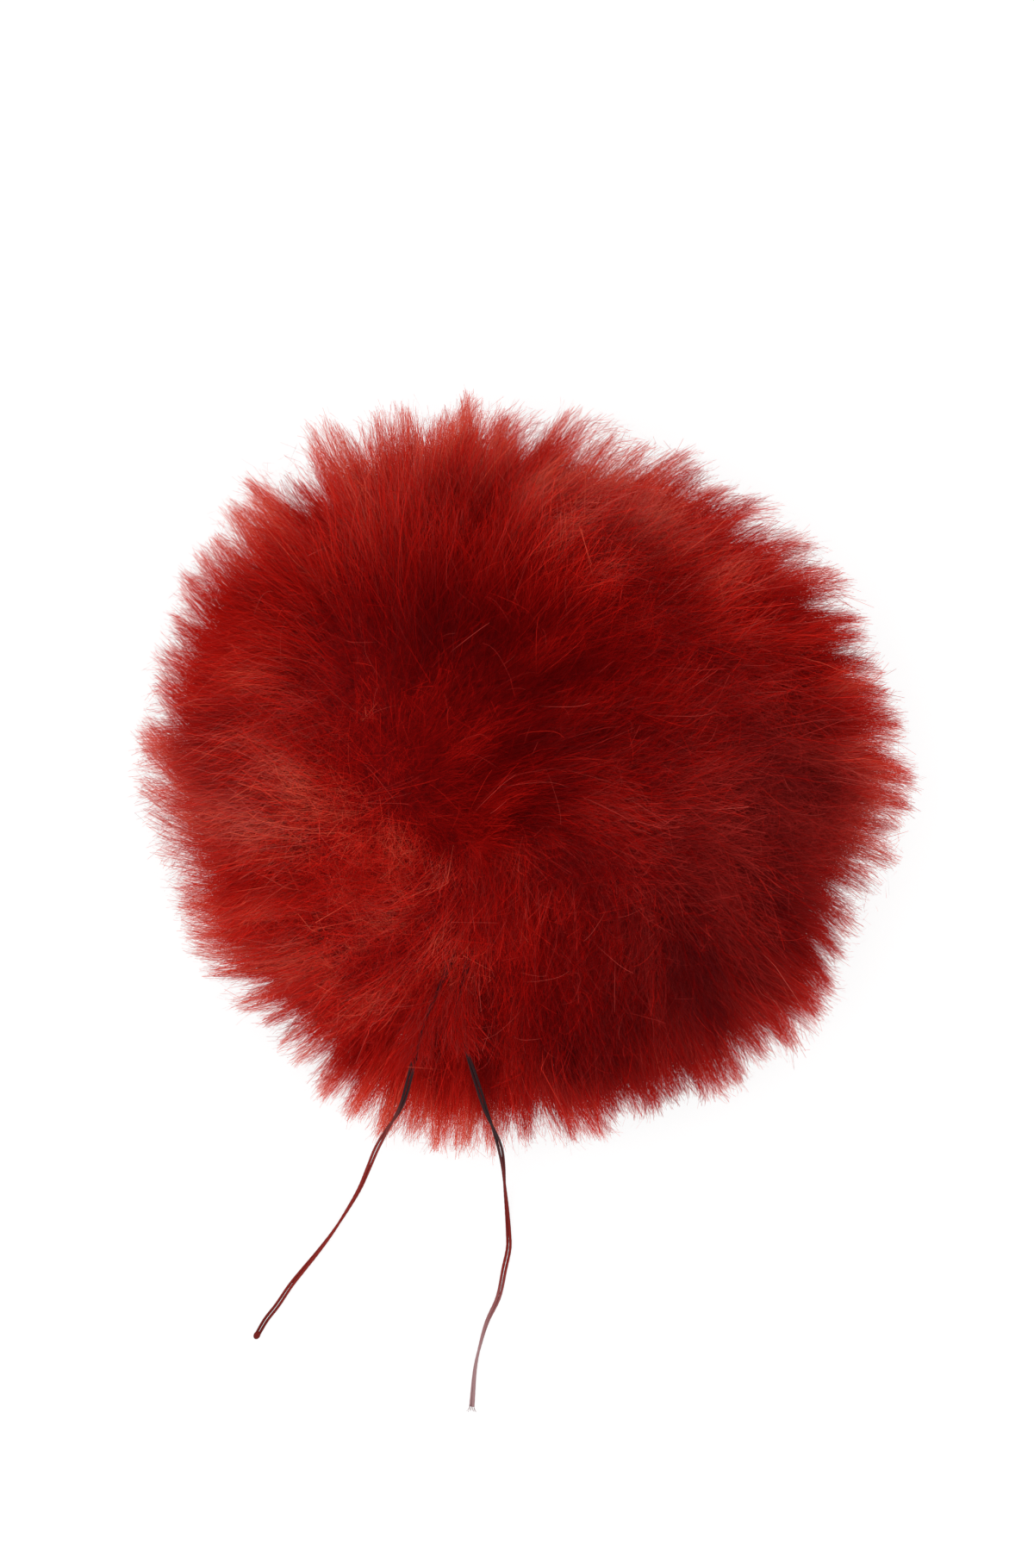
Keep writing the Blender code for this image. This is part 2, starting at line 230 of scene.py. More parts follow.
@dataclass(frozen=True)
class PileForm:
    """The form of the ball: a squat backing, and the shell that the pile's tips reach.

    Sizes and tables are those of the solid ball, so that the hair follows its locks.

    Attributes:
        backing_radius: Radius of the backing, at its waist.
        backing_waist: Height of that waist.
        backing_top: Height of its top.
        backing_foot: Height of its flat foot.
        backing_under: How far its lower half drops below the waist.
        backing_shoulder: Power of its upper half's curve.
        pile_top: Height of the mean tips.
        pile_under: How far they drop below the rim.
        pile_shoulder: Power of their upper half's curve.
        rim_height: Height of the ball's widest level.
        rim_sag: How much lower that level is on the side that sags.
        rim_sag_azimuth: The side that sags, in degrees.
        rim_sag_width: Half width of the sag, in degrees.
        tip_past_outline: How far the mean tips lie past the outline table.
        root_share: Share of a root's own distance from the parting that its turn leaves out.
        lean: How far the hair leans away from the parting.
        underside_lean: The same on the underside.
        droop: Further lean under the hair's own weight.
        highest_depth: Greatest depth in the pile that a hair may reach.
        parting: Direction of the spot that the hair parts from.
        outline: Azimuth in degrees, and reach of the solid outline from above.
        turns: Azimuth, and how far the upper hair turns aside, in degrees.
        rim_turns: The same for the hair at the rim and under it.
        upper_from: Height of a unit root at which the upper hair's turn sets in.
        upper_slope: How fast it takes over above that.
        swing_power: Power of the depth by which a hair swings aside.
    """

    backing_radius: float = 47.0
    backing_waist: float = 34.0
    backing_top: float = 74.0
    backing_foot: float = 5.0
    backing_under: float = 38.0
    backing_shoulder: float = 1.05
    pile_top: float = 86.0
    pile_under: float = 38.0
    pile_shoulder: float = 1.1
    rim_height: float = 32.0
    rim_sag: float = 18.0
    rim_sag_azimuth: float = 258.0
    rim_sag_width: float = 40.0
    tip_past_outline: float = 2.0
    root_share: float = 0.55
    upper_from: float = 0.3
    upper_slope: float = 1.5
    swing_power: float = 1.2
    lean: float = 0.48
    underside_lean: float = 0.15
    droop: float = 0.10
    highest_depth: float = 1.48
    parting: tuple[float, float, float] = (-0.13, -0.18, 1.0)
    outline: Rows = (
        (0, 69.6), (22.5, 66.9), (45, 65.2), (67.5, 64.2), (90, 64.6), (107, 67.8),
        (121, 71.6), (135, 70), (157.5, 67.7), (180, 67.2), (202.5, 64.6), (225, 64.8),
        (247.5, 69), (270, 67), (292.5, 65.2), (315, 68.6), (337.5, 66.4),
    )
    turns: Rows = (
        (0, -8), (30, -26), (60, -36), (90, -22), (120, -14), (150, -22),
        (180, -34), (210, -26), (240, -8), (262, 3), (285, -6), (310, -16),
        (335, -12),
    )
    rim_turns: Rows = (
        (0, -15), (30, -19), (60, -16), (85, -9), (98, -3), (113, -8),
        (135, -5), (170, -8), (210, -15), (240, -6), (262, -3), (300, 0),
        (330, -5),
    )

    def squat_ball(
        self,
        directions: np.ndarray,
        radius: np.ndarray | float,
        waist: np.ndarray | float,
        top: float,
        shoulder: float,
        under: float,
        floor: float,
    ) -> np.ndarray:
        """Points of a squat ball, widest at its waist and flat at its floor.

        Args:
            directions: Unit vectors, one a row.
            radius: Radius of the waist.
            waist: Height of the waist.
            top: Height of the top.
            shoulder: Power of the upper half's curve; 1 is an ellipse.
            under: Drop of the lower half.
            floor: Lowest height.

        Returns:
            One point a row.
        """
        up = directions[:, 2]
        upper = waist + (top - waist) * np.clip(up, 0.0, 1.0) ** shoulder
        lower = np.maximum(floor, waist + under * up)
        height = np.where(up >= 0.0, upper, lower)
        return np.column_stack((directions[:, 0] * radius, directions[:, 1] * radius, height))

    def shell(self, directions: np.ndarray, depth: np.ndarray) -> np.ndarray:
        """Points of the pile: depth 0 is the backing and 1 the mean tips.

        Args:
            directions: Unit vectors, one a row.
            depth: Depth in the pile, one for each direction.

        Returns:
            One point a row, in mm, none below the surface the ball lies on.
        """
        azimuth = azimuths(directions)
        off_sag = turned_from(azimuth, self.rim_sag_azimuth)
        rim = self.rim_height - self.rim_sag * hump(off_sag, self.rim_sag_width)
        reach = round_table(self.outline, azimuth) + self.tip_past_outline
        root = self.squat_ball(
            directions, self.backing_radius, self.backing_waist, self.backing_top,
            self.backing_shoulder, self.backing_under, self.backing_foot,
        )
        tip = self.squat_ball(
            directions, reach, rim, self.pile_top, self.pile_shoulder, self.pile_under, 0.0
        )
        points = root + (tip - root) * depth[:, None]
        points[:, 2] = np.maximum(points[:, 2], 0.0)
        return points

    def trimmed_depth(self, tips: np.ndarray, change: np.ndarray) -> np.ndarray:
        """Depth at which hairs that point in some directions meet the pile's trimmed outline.

        Args:
            tips: Unit vectors of the hairs' tips, one a row.
            change: How far the outline lies past its mean there, in mm.

        Returns:
            A depth for each direction.
        """
        outline = round_table(self.outline, azimuths(tips))
        flat = np.maximum(np.hypot(tips[:, 0], tips[:, 1]), 0.3)
        met = (outline + change) / flat - self.backing_radius
        met /= outline + self.tip_past_outline - self.backing_radius
        return np.minimum(met, self.highest_depth)

    def laid(
        self, directions: np.ndarray, depth: np.ndarray, wave: np.ndarray, sway: np.ndarray
    ) -> np.ndarray:
        """Directions that hairs rooted in some directions have come to at a depth.

        Args:
            directions: Unit vectors of the roots, one a row.
            depth: Depth in the pile, one for each direction.
            wave: Extra turn of each hair with its neighbours, in radians at full depth.
            sway: Extra lean of each hair with its neighbours, in radians at full depth.

        Returns:
            Unit vectors, one a row.
        """
        axis = unit(np.array([self.parting]))[0]
        along = np.clip(directions @ axis, -1.0, 1.0)
        tilt = np.arccos(along)
        out = unit(directions - axis * along[:, None])
        side = np.cross(axis, out)
        parted = np.where(tilt < math.pi / 2.0, self.lean, self.underside_lean)
        lean = (parted * along + self.droop) * np.sin(tilt) ** 2
        outward = np.sin(tilt + lean) - np.sin(tilt) * self.root_share
        upper = np.clip((directions[:, 2] - self.upper_from) * self.upper_slope, 0.0, 1.0)
        azimuth = azimuths(directions)
        turn = round_table(self.turns, azimuth) * upper
        turn = np.tan(np.radians(turn + round_table(self.rim_turns, azimuth) * (1.0 - upper)))
        swing = (turn * outward * np.sin(tilt) + wave) * depth**self.swing_power
        tilt = np.clip(tilt + (lean + sway) * depth, 0.0, math.pi)
        return unit(
            axis * np.cos(tilt)[:, None]
            + out * (np.sin(tilt) * np.cos(swing))[:, None]
            + side * (np.sin(tilt) * np.sin(swing))[:, None]
        )


def unit(vectors: np.ndarray) -> np.ndarray:
    """Scale each row to length 1."""
    return vectors / np.maximum(np.linalg.norm(vectors, axis=-1, keepdims=True), 1e-9)


def azimuths(directions: np.ndarray) -> np.ndarray:
    """Azimuth of each row from above, from 0 to 360 degrees."""
    return np.degrees(np.arctan2(directions[:, 1], directions[:, 0])) % 360.0


def turned_from(azimuth: np.ndarray, centre: float) -> np.ndarray:
    """Degrees from a centre azimuth to each azimuth, from -180 to 180."""
    return (azimuth - centre + 180.0) % 360.0 - 180.0


def hump(distance: np.ndarray, half: float) -> np.ndarray:
    """A smooth hump, 1 at no distance and about a third at its half width."""
    return np.exp(-((distance / half) ** 2))


def round_humps(table: Rows, azimuth: np.ndarray) -> np.ndarray:
    """Sum of humps round the ball.

    Args:
        table: Azimuth, height and half width in degrees of each.
        azimuth: Azimuths in degrees.

    Returns:
        The sum at each azimuth.
    """
    total = np.zeros(len(azimuth))
    for centre, height, half in table:
        total += height * hump(turned_from(azimuth, centre), half)
    return total


def flat_humps(table: Rows, places: np.ndarray) -> np.ndarray:
    """Sum of humps over the picture.

    Args:
        table: Place, half width and height of each.
        places: Points, one a row.

    Returns:
        The sum at each point, as seen from above.
    """
    total = np.zeros(len(places))
    for across, up, half, height in table:
        total += height * hump(np.hypot(places[:, 0] - across, places[:, 1] - up), half)
    return total


def round_table(table: Rows, azimuth: np.ndarray) -> np.ndarray:
    """Smooth values from a table that runs round the ball.

    Args:
        table: Azimuth in degrees, and the value there.
        azimuth: Azimuths in degrees, from 0 to 360.

    Returns:
        A value for each azimuth.
    """
    angles, values = (np.array(column) for column in zip(*table))
    angles = np.concatenate((angles[-2:] - 360.0, angles, angles[:2] + 360.0))
    values = np.concatenate((values[-2:], values, values[:2]))
    slopes = (values[2:] - values[:-2]) / (angles[2:] - angles[:-2])
    start = np.searchsorted(angles, azimuth, side="right") - 1
    span = angles[start + 1] - angles[start]
    share = (azimuth - angles[start]) / span
    square, cube = share**2, share**3
    return (
        (2 * cube - 3 * square + 1) * values[start]
        + (cube - 2 * square + share) * slopes[start - 1] * span
        + (3 * square - 2 * cube) * values[start + 1]
        + (cube - square) * slopes[start] * span
    )


class Waves:
    """A smooth random field over the ball, as a sum of plane waves."""

    def __init__(self, seed: int, size: float, count: int = 14) -> None:
        """Draw the waves.

        Args:
            seed: Seed of the draw.
            size: Waves round the ball.
            count: Number of plane waves.
        """
        chance = np.random.default_rng(seed)
        self.headings = unit(chance.normal(size=(count, 3))) * size
        self.headings *= chance.uniform(0.5, 1.5, (count, 1))
        self.phases = chance.uniform(0.0, FULL_TURN, count)

    def __call__(self, directions: np.ndarray) -> np.ndarray:
        """Value of the field at each direction, about -1 to 1."""
        total = np.sin(directions @ self.headings.T + self.phases).sum(axis=1)
        return total / math.sqrt(len(self.phases) / 2.0) / 1.6


def mixed(waves: tuple[tuple[float, Waves], ...], directions: np.ndarray) -> np.ndarray:
    """Sum of some fields at each direction, each with its own weight."""
    return sum(weight * field(directions) for weight, field in waves)


TURN_WAVES = ((0.12, Waves(22, 5.0)), (0.08, Waves(23, 13.0)))
SWAY_WAVES = ((0.05, Waves(24, 8.0)), (0.04, Waves(25, 17.0)))
DEPTH_WAVES = ((0.04, Waves(21, 7.0)),)
DYE_WAVES = ((0.11, Waves(31, 6.0)), (0.12, Waves(32, 15.0)))
DULL_WAVES = ((0.25, Waves(33, 9.0)),)
STREAK_WAVES = ((0.18, Waves(34, 52.0, 20)),)
RUFFLE_ACROSS = ((1.0, Waves(41, 8.0)), (0.9, Waves(43, 19.0)))
RUFFLE_UP = ((1.0, Waves(42, 8.0)), (0.9, Waves(44, 19.0)))


def spread_directions(count: int, jitter: float, chance: np.random.Generator) -> np.ndarray:
    """Directions spread evenly over the ball, each shifted a little.

    Args:
        count: Number of directions.
        jitter: Largest shift, as a share of the mean spacing.
        chance: Source of random numbers.

    Returns:
        Unit vectors, one a row.
    """
    step = np.arange(count) + 0.5
    height = 1.0 - 2.0 * step / count
    angle = step * math.pi * (3.0 - math.sqrt(5.0))
    flat = np.sqrt(1.0 - height**2)
    even = np.column_stack((flat * np.cos(angle), flat * np.sin(angle), height))
    spacing = math.sqrt(4.0 * math.pi / count)
    return unit(even + chance.uniform(-1.0, 1.0, even.shape) * jitter * spacing)


def around(azimuth: np.ndarray, ring: np.ndarray) -> tuple[np.ndarray, np.ndarray]:
    """Nearest place on a ring to each azimuth.

    Args:
        azimuth: Azimuths in degrees.
        ring: Places round the ring in degrees, in rising order.

    Returns:
        The index of each one's place, and its offset as a share of half the mean spacing.
    """
    wide = np.concatenate((ring[-1:] - 360.0, ring, ring[:1] + 360.0))
    index = np.searchsorted((wide[1:] + wide[:-1]) / 2.0, azimuth)
    offset = (azimuth - wide[index]) / (180.0 / len(ring))
    return (index - 1) % len(ring), offset


def nearest(places: np.ndarray, centres: np.ndarray) -> tuple[np.ndarray, np.ndarray]:
    """Nearest centre to each place.

    Args:
        places: Points, one a row.
        centres: Points to choose from, one a row.

    Returns:
        The index of each place's centre, and the distance to it.
    """
    tree = KDTree(len(centres))
    for index, centre in enumerate(centres):
        tree.insert(centre, index)
    tree.balance()
    found = [tree.find(place)[1:] for place in places]
    return np.array([row[0] for row in found]), np.array([row[1] for row in found])


@dataclass
class Tie:
    """One tie: two plies of yarn along a route, which turn round each other.

    Attributes:
        node: The solid node that the tie replaces, and the root of its own name.
        route: Points from the backing to the free end, in mm.
        tones: Place along the tie from 0 to 1, and the linear colour there.
        sealed: Whether the free end is melted into a bead; otherwise it splays.
        lay: Run over which the plies turn once round each other.
        flat_at: A run at which they lie side by side.
        ply_diameter: Room that one ply takes up.
        ply_fill: Share of that room which its yarn fills.
        clearance: Least gap between the tie and the surface it lies on.
        steps: Points along the tie.
        sides: Corners of a ply's section.
        twist_pitch: Run of one turn of the yarn's own twist.
        twist_ridge: Height of that twist's ridges, as a share of the yarn's radius.
        bead_radius: Radius of a sealed end's bead.
        bead_stretch: How much longer the bead is than it is thick.
        frayed_ends: Number of loose fibres at a cut end.
        frayed_length: Their greatest length.
        frayed_radius: Their radius.
        end_map: Range up the map that the end's own shade is taken from.
    """

    node: str
    route: tuple[tuple[float, float, float], ...]
    far_end: str
    tones: Stops
    sealed: bool
    lay: float
    flat_at: float
    ply_diameter: float = 0.6
    ply_fill: float = 0.86
    clearance: float = 0.02
    steps: int = 230
    sides: int = 8
    twist_pitch: float = 1.1
    twist_ridge: float = 0.05
    bead_radius: float = 0.62
    bead_stretch: float = 1.3
    frayed_ends: int = 9
    frayed_length: float = 1.6
    frayed_radius: float = 0.05
    end_map: tuple[float, float] = (0.92, 1.0)

    def line(self, steps: int) -> tuple[np.ndarray, float]:
        """Evenly spaced points of a smooth curve through the route.

        Args:
            steps: Number of points.

        Returns:
            The points in mm, one a row, and the curve's length in mm.
        """
        points = np.array(self.route)
        points = np.vstack((2 * points[0] - points[1], points, 2 * points[-1] - points[-2]))
        fine = []
        for before, start, end, after in zip(points, points[1:], points[2:], points[3:]):
            for t in np.arange(24) / 24.0:
                fine.append(0.5 * (
                    2 * start + (end - before) * t
                    + (2 * before - 5 * start + 4 * end - after) * t**2
                    + (3 * start - before - 3 * end + after) * t**3
                ))
        fine.append(points[-2])
        fine = np.array(fine)
        run = np.concatenate(([0.0], np.cumsum(np.linalg.norm(np.diff(fine, axis=0), axis=1))))
        wanted = np.linspace(0.0, run[-1], steps)
        even = np.column_stack([np.interp(wanted, run, fine[:, axis]) for axis in range(3)])
        return even, float(run[-1])

    def build(self) -> bpy.types.Object:
        """Returns:
            The tie's object.
        """
        line, length = self.line(self.steps)
        tubes = [self.ply(line, length, half) for half in (0, 1)]
        tubes += [self.bead(line)] if self.sealed else self.fray(line)
        tie = join_tubes(self.node + "_yarn", tubes)
        tie.data.materials.append(self.finish())
        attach(tie, BODY)
        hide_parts(self.node)
        log.info("%s: %.1f mm long", tie.name, length)
        return tie

    def ply(self, line: np.ndarray, length: float, half: int) -> "Tube":
        """One of the two plies.

        Args:
            line: The tie's centreline.
            length: The tie's length.
            half: 0 or 1, for the side of the line that the ply starts on.

        Returns:
            The ply as a tube.
        """
        run = np.linspace(0.0, length, len(line))
        angle = FULL_TURN * (run - self.flat_at) / self.lay + math.pi * half
        tangent = unit(np.gradient(line, axis=0))
        across = unit(np.cross(tangent, (0.0, 0.0, 1.0)))
        up = np.cross(across, tangent)
        radius = self.ply_diameter / 2.0
        centre = line + radius * (across * np.cos(angle)[:, None] + up * np.sin(angle)[:, None])
        centre[:, 2] = np.maximum(centre[:, 2], radius + self.clearance)
        ridge = 1.0 + self.twist_ridge * np.sin(FULL_TURN * run / self.twist_pitch)
        across_map = (0.02 + 0.5 * half, 0.48 + 0.5 * half)
        return Tube(centre, radius * self.ply_fill * ridge, self.sides, across_map)

    def bead(self, line: np.ndarray) -> "Tube":
        """The melted bead that closes a sealed end.

        Args:
            line: The tie's centreline.

        Returns:
            The bead as a short tube.
        """
        turn = np.linspace(0.0, math.pi, 11)
        heading = unit(line[-1] - line[-2])
        centre = line[-1] - heading * self.bead_radius * np.cos(turn)[:, None] * self.bead_stretch
        centre[:, 2] = np.maximum(centre[:, 2], self.bead_radius + self.clearance)
        radius = np.maximum(self.bead_radius * np.sin(turn), 0.02)
        return Tube(centre, radius, 12, (0.02, 0.98), self.end_map)

    def fray(self, line: np.ndarray) -> list["Tube"]:
        """The loose fibres of a cut end, which spread a little.

        Args:
            line: The tie's centreline.

        Returns:
            A thin tube for each fibre.
        """
        chance = np.random.default_rng(7)
        heading = unit(line[-1] - line[-2])
        aside = carried_frames(line)[0][-1]
        tubes = []
        for _ in range(self.frayed_ends):
            sway = aside * chance.uniform(-0.45, 0.45)
            start = line[-1] + aside * chance.uniform(-0.5, 0.5) - heading * 0.3
            reach = np.linspace(0.0, self.frayed_length * chance.uniform(0.5, 1.0), 5)
            centre = start + heading * reach[:, None] + sway * (reach**1.5)[:, None]
            lift = chance.uniform(-0.25, 0.25)
            centre[:, 2] = np.maximum(centre[:, 2] + lift, self.frayed_radius + 0.03)
            radius = np.linspace(1.0, 0.5, 5) * self.frayed_radius
            tubes.append(Tube(centre, radius, 4, (0.3, 0.7), self.end_map))
        return tubes

    def finish(self) -> bpy.types.Material:
        """Yarn that changes shade along the tie, with a fine twist in its bump and painted shade
        darkening the twist's grooves.

        Returns:
            The tie's material.
        """
        paint = Paint(self.node + "_yarn", 0.75, 0.08)
        place = paint.own_map()
        split = paint.add("ShaderNodeSeparateXYZ", {})
        paint.link(place, "UV", split, "Vector")
        ramp = paint.ramp(split, "Y", self.tones)
        stretch = paint.add("ShaderNodeMapping", {"Scale": (1.0, 26.0, 1.0)})
        paint.link(place, "UV", stretch, "Vector")
        twist = paint.add("ShaderNodeTexWave", {"Scale": 9.0, "Distortion": 1.5})
        twist.bands_direction = "DIAGONAL"
        paint.link(stretch, "Vector", twist, "Vector")
        # Painted shade: the twist's grooves, where its bump is low, are painted darker.
        painted_groove_shade = paint.add("ShaderNodeMix", {})
        painted_groove_shade.data_type = "RGBA"
        painted_groove_shade.blend_type = "MULTIPLY"
        painted_groove_shade.inputs["Factor"].default_value = 0.45
        paint.link(ramp, "Color", painted_groove_shade, "A")
        paint.link(twist, "Color", painted_groove_shade, "B")
        paint.link(painted_groove_shade, "Result", paint.shader, "Base Color")
        paint.relief(twist, 0.5, 0.00005)
        return paint.material


@dataclass
class Tube:
    """A round tube along a line, with its own thickness at each point.

    Attributes:
        centre: Points of its centreline, one a row.
        radius: Radius at each point.
        sides: Corners of its section.
        across: Range that its section takes across the map.
        along: Range that its length takes up the map.
    """

    centre: np.ndarray
    radius: np.ndarray
    sides: int
    across: tuple[float, float]
    along: tuple[float, float] = (0.0, 1.0)


def carried_frames(line: np.ndarray) -> tuple[np.ndarray, np.ndarray]:
    """Two vectors across a line, carried along it without turning.

    Args:
        line: Points, one a row.

    Returns:
        The sideways vectors and the upward vectors, one a row each.
    """
    tangent = unit(np.gradient(line, axis=0))
    across = np.zeros_like(line)
    carried = np.cross(tangent[0], (0.0, 0.0, 1.0))
    for index, along in enumerate(tangent):
        carried = carried - along * (carried @ along)
        carried = carried / np.linalg.norm(carried)
        across[index] = carried
    return across, np.cross(across, tangent)


def placed_object(mesh: bpy.types.Mesh) -> bpy.types.Object:
    """Put a mesh into the scene as an object of the same name.

    Args:
        mesh: The mesh.

    Returns:
        The object.
    """
    item = bpy.data.objects.new(mesh.name, mesh)
    bpy.context.collection.objects.link(item)
    return item


def join_tubes(name: str, tubes: list[Tube]) -> bpy.types.Object:
    """Make one mesh object of several closed tubes.

    Args:
        name: The object's name.
        tubes: The tubes.

    Returns:
        The object, with the tubes' map.
    """
    cap = 0.004
    points, faces, maps = [], [], []
    for tube in tubes:
        across, up = carried_frames(tube.centre)
        base, rings, sides = len(points), len(tube.centre), tube.sides
        low, high = tube.across
        rise = tube.along[1] - tube.along[0]
        for row in range(rings):
            for side in range(sides):
                angle = FULL_TURN * side / sides
                arm = across[row] * math.cos(angle) + up[row] * math.sin(angle)
                points.append(tube.centre[row] + arm * tube.radius[row])
        for row in range(rings - 1):
            for side in range(sides):
                after = (side + 1) % sides
                first, second = base + row * sides, base + (row + 1) * sides
                faces.append((first + side, second + side, second + after, first + after))
                u0, u1 = (low + (high - low) * k / sides for k in (side, side + 1))
                v0, v1 = (tube.along[0] + rise * k / (rings - 1) for k in (row, row + 1))
                maps += [(u0, v0), (u0, v1), (u1, v1), (u1, v0)]
        last = base + (rings - 1) * sides
        faces.append(tuple(base + side for side in range(sides)))
        faces.append(tuple(last + side for side in reversed(range(sides))))
        ends = (tube.along[0] + cap, tube.along[1] - cap)
        for end, order in zip(ends, (range(sides), reversed(range(sides)))):
            for side in order:
                angle = FULL_TURN * side / sides
                middle = (low + high) / 2
                maps.append((middle + cap * math.cos(angle), end + 0.75 * cap * math.sin(angle)))
    mesh = bpy.data.meshes.new(name)
    mesh.from_pydata([tuple(point * MM) for point in points], [], faces)
    layer = mesh.uv_layers.new(name=UV_NAME)
    layer.data.foreach_set("uv", np.array(maps, dtype=np.float32).ravel())
    mesh.shade_smooth()
    mesh.update()
    return placed_object(mesh)


@dataclass
class Backing:
    """The dense felted base of the pile, which shows only between parted hair.

    Attributes:
        form: The ball's form.
        depth: Mean depth of its skin in the pile.
        lump: How far its lumps change that.
        foot: Height of its flat foot.
        rows: Faces from top to bottom.
        columns: Faces round it.
        shaded_felt: Place in the noise of its fuzz, and the linear colour there, in the dye's darkest
            tones as painted shade.
    """

    form: PileForm
    depth: float = 0.26
    lump: float = 0.10
    foot: float = 1.2
    rows: int = 72
    columns: int = 128
    shaded_felt: Stops = ((0.3, (0.08, 0.001, 0.0015)), (0.7, (0.22, 0.0025, 0.0025)))

    def build(self) -> bpy.types.Object:
        """Build the backing's skin and dress it.

        Returns:
            The backing's object.
        """
        height = np.cos(np.linspace(0.0, math.pi, self.rows + 1)[1:-1])
        turn = np.linspace(0.0, FULL_TURN, self.columns, endpoint=False)
        flat = np.sqrt(1.0 - height**2)
        directions = np.stack((
            np.outer(flat, np.cos(turn)), np.outer(flat, np.sin(turn)),
            np.repeat(height[:, None], self.columns, axis=1),
        ), axis=-1).reshape(-1, 3)
        directions = np.vstack(((0.0, 0.0, 1.0), directions, (0.0, 0.0, -1.0)))
        lumps = Waves(3, 26.0)(directions)
        points = self.form.shell(directions, self.depth + self.lump * lumps)
        points[:, 2] = np.maximum(points[:, 2], self.foot)
        faces = []
        last = len(points) - 1
        for column in range(self.columns):
            after = (column + 1) % self.columns
            faces.append((0, 1 + column, 1 + after))
            for row in range(self.rows - 2):
                first, second = 1 + row * self.columns, 1 + (row + 1) * self.columns
                faces.append((first + column, second + column, second + after, first + after))
            bottom = 1 + (self.rows - 2) * self.columns
            faces.append((bottom + column, last, bottom + after))
        mesh = bpy.data.meshes.new("felted_backing")
        mesh.from_pydata([tuple(point * MM) for point in points], [], faces)
        mesh.shade_smooth()
        backing = placed_object(mesh)
        mesh.materials.append(self.finish())
        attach(backing, BODY)
        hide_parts("fur_ball")
        log.info("felted_backing: %d faces", len(faces))
        return backing

    def finish(self) -> bpy.types.Material:
        """Felted down in the dye's darkest tones: painted shade, since it shows only deep between
        parted hair.

        Returns:
            The material.
        """
        paint = Paint("felted_down_painted_shade", 0.95, 0.05)
        place = paint.add("ShaderNodeTexCoord", {})
        fuzz = paint.add("ShaderNodeTexNoise", {"Scale": 900.0, "Detail": 4.0})
        paint.link(place, "Object", fuzz, "Vector")
        # Painted shade: the felt is coloured as dark as the shade deep in the pile.
        ramp = paint.ramp(fuzz, "Fac", self.shaded_felt)
        paint.link(ramp, "Color", paint.shader, "Base Color")
        paint.relief(fuzz, 0.8, 0.0006)
        return paint.material


@dataclass(frozen=True)
class Hair:
    """One kind of hair in the pile.

    Attributes:
        kind: What the hair is for.
        count: Number of hairs.
        points: Points along each.
        width: Mean width.
        shown: Share of the pile's depth that its modelled end takes up.
        shortening: Largest share of the pile's length that a hair falls short by.
        evenness: Power of that shortfall's spread; low values leave few long hairs.
        gather: Weakest and strongest pull into its wisp.
        crimp: Largest sideways bend of the tip.
        loose: Share of hairs that have worked loose.
        stand: How far the hair on top stands up out of the lay, from 0 to 1.
        tuck: How much deeper in the pile the hair on top ends.
    """

    kind: StrandKind
    count: int
    points: int
    width: float
    shown: float = 1.0
    shortening: float = 0.0
    evenness: float = 1.0
    gather: tuple[float, float] = (0.0, 0.0)
    crimp: float = 0.0
    loose: float = 0.0
    stand: float = 0.0
    tuck: float = 0.0

    def faces(self) -> tuple[np.ndarray, np.ndarray]:
        """Corners of one ribbon's faces, and the number of corners of each face."""
        quads = self.points - 2
        corners = [0, 2, 1]
        for quad in range(quads):
            low = 2 * quad + 1
            corners += [low, low + 1, low + 3, low + 2]
        return np.array(corners), np.array([3] + [4] * quads)


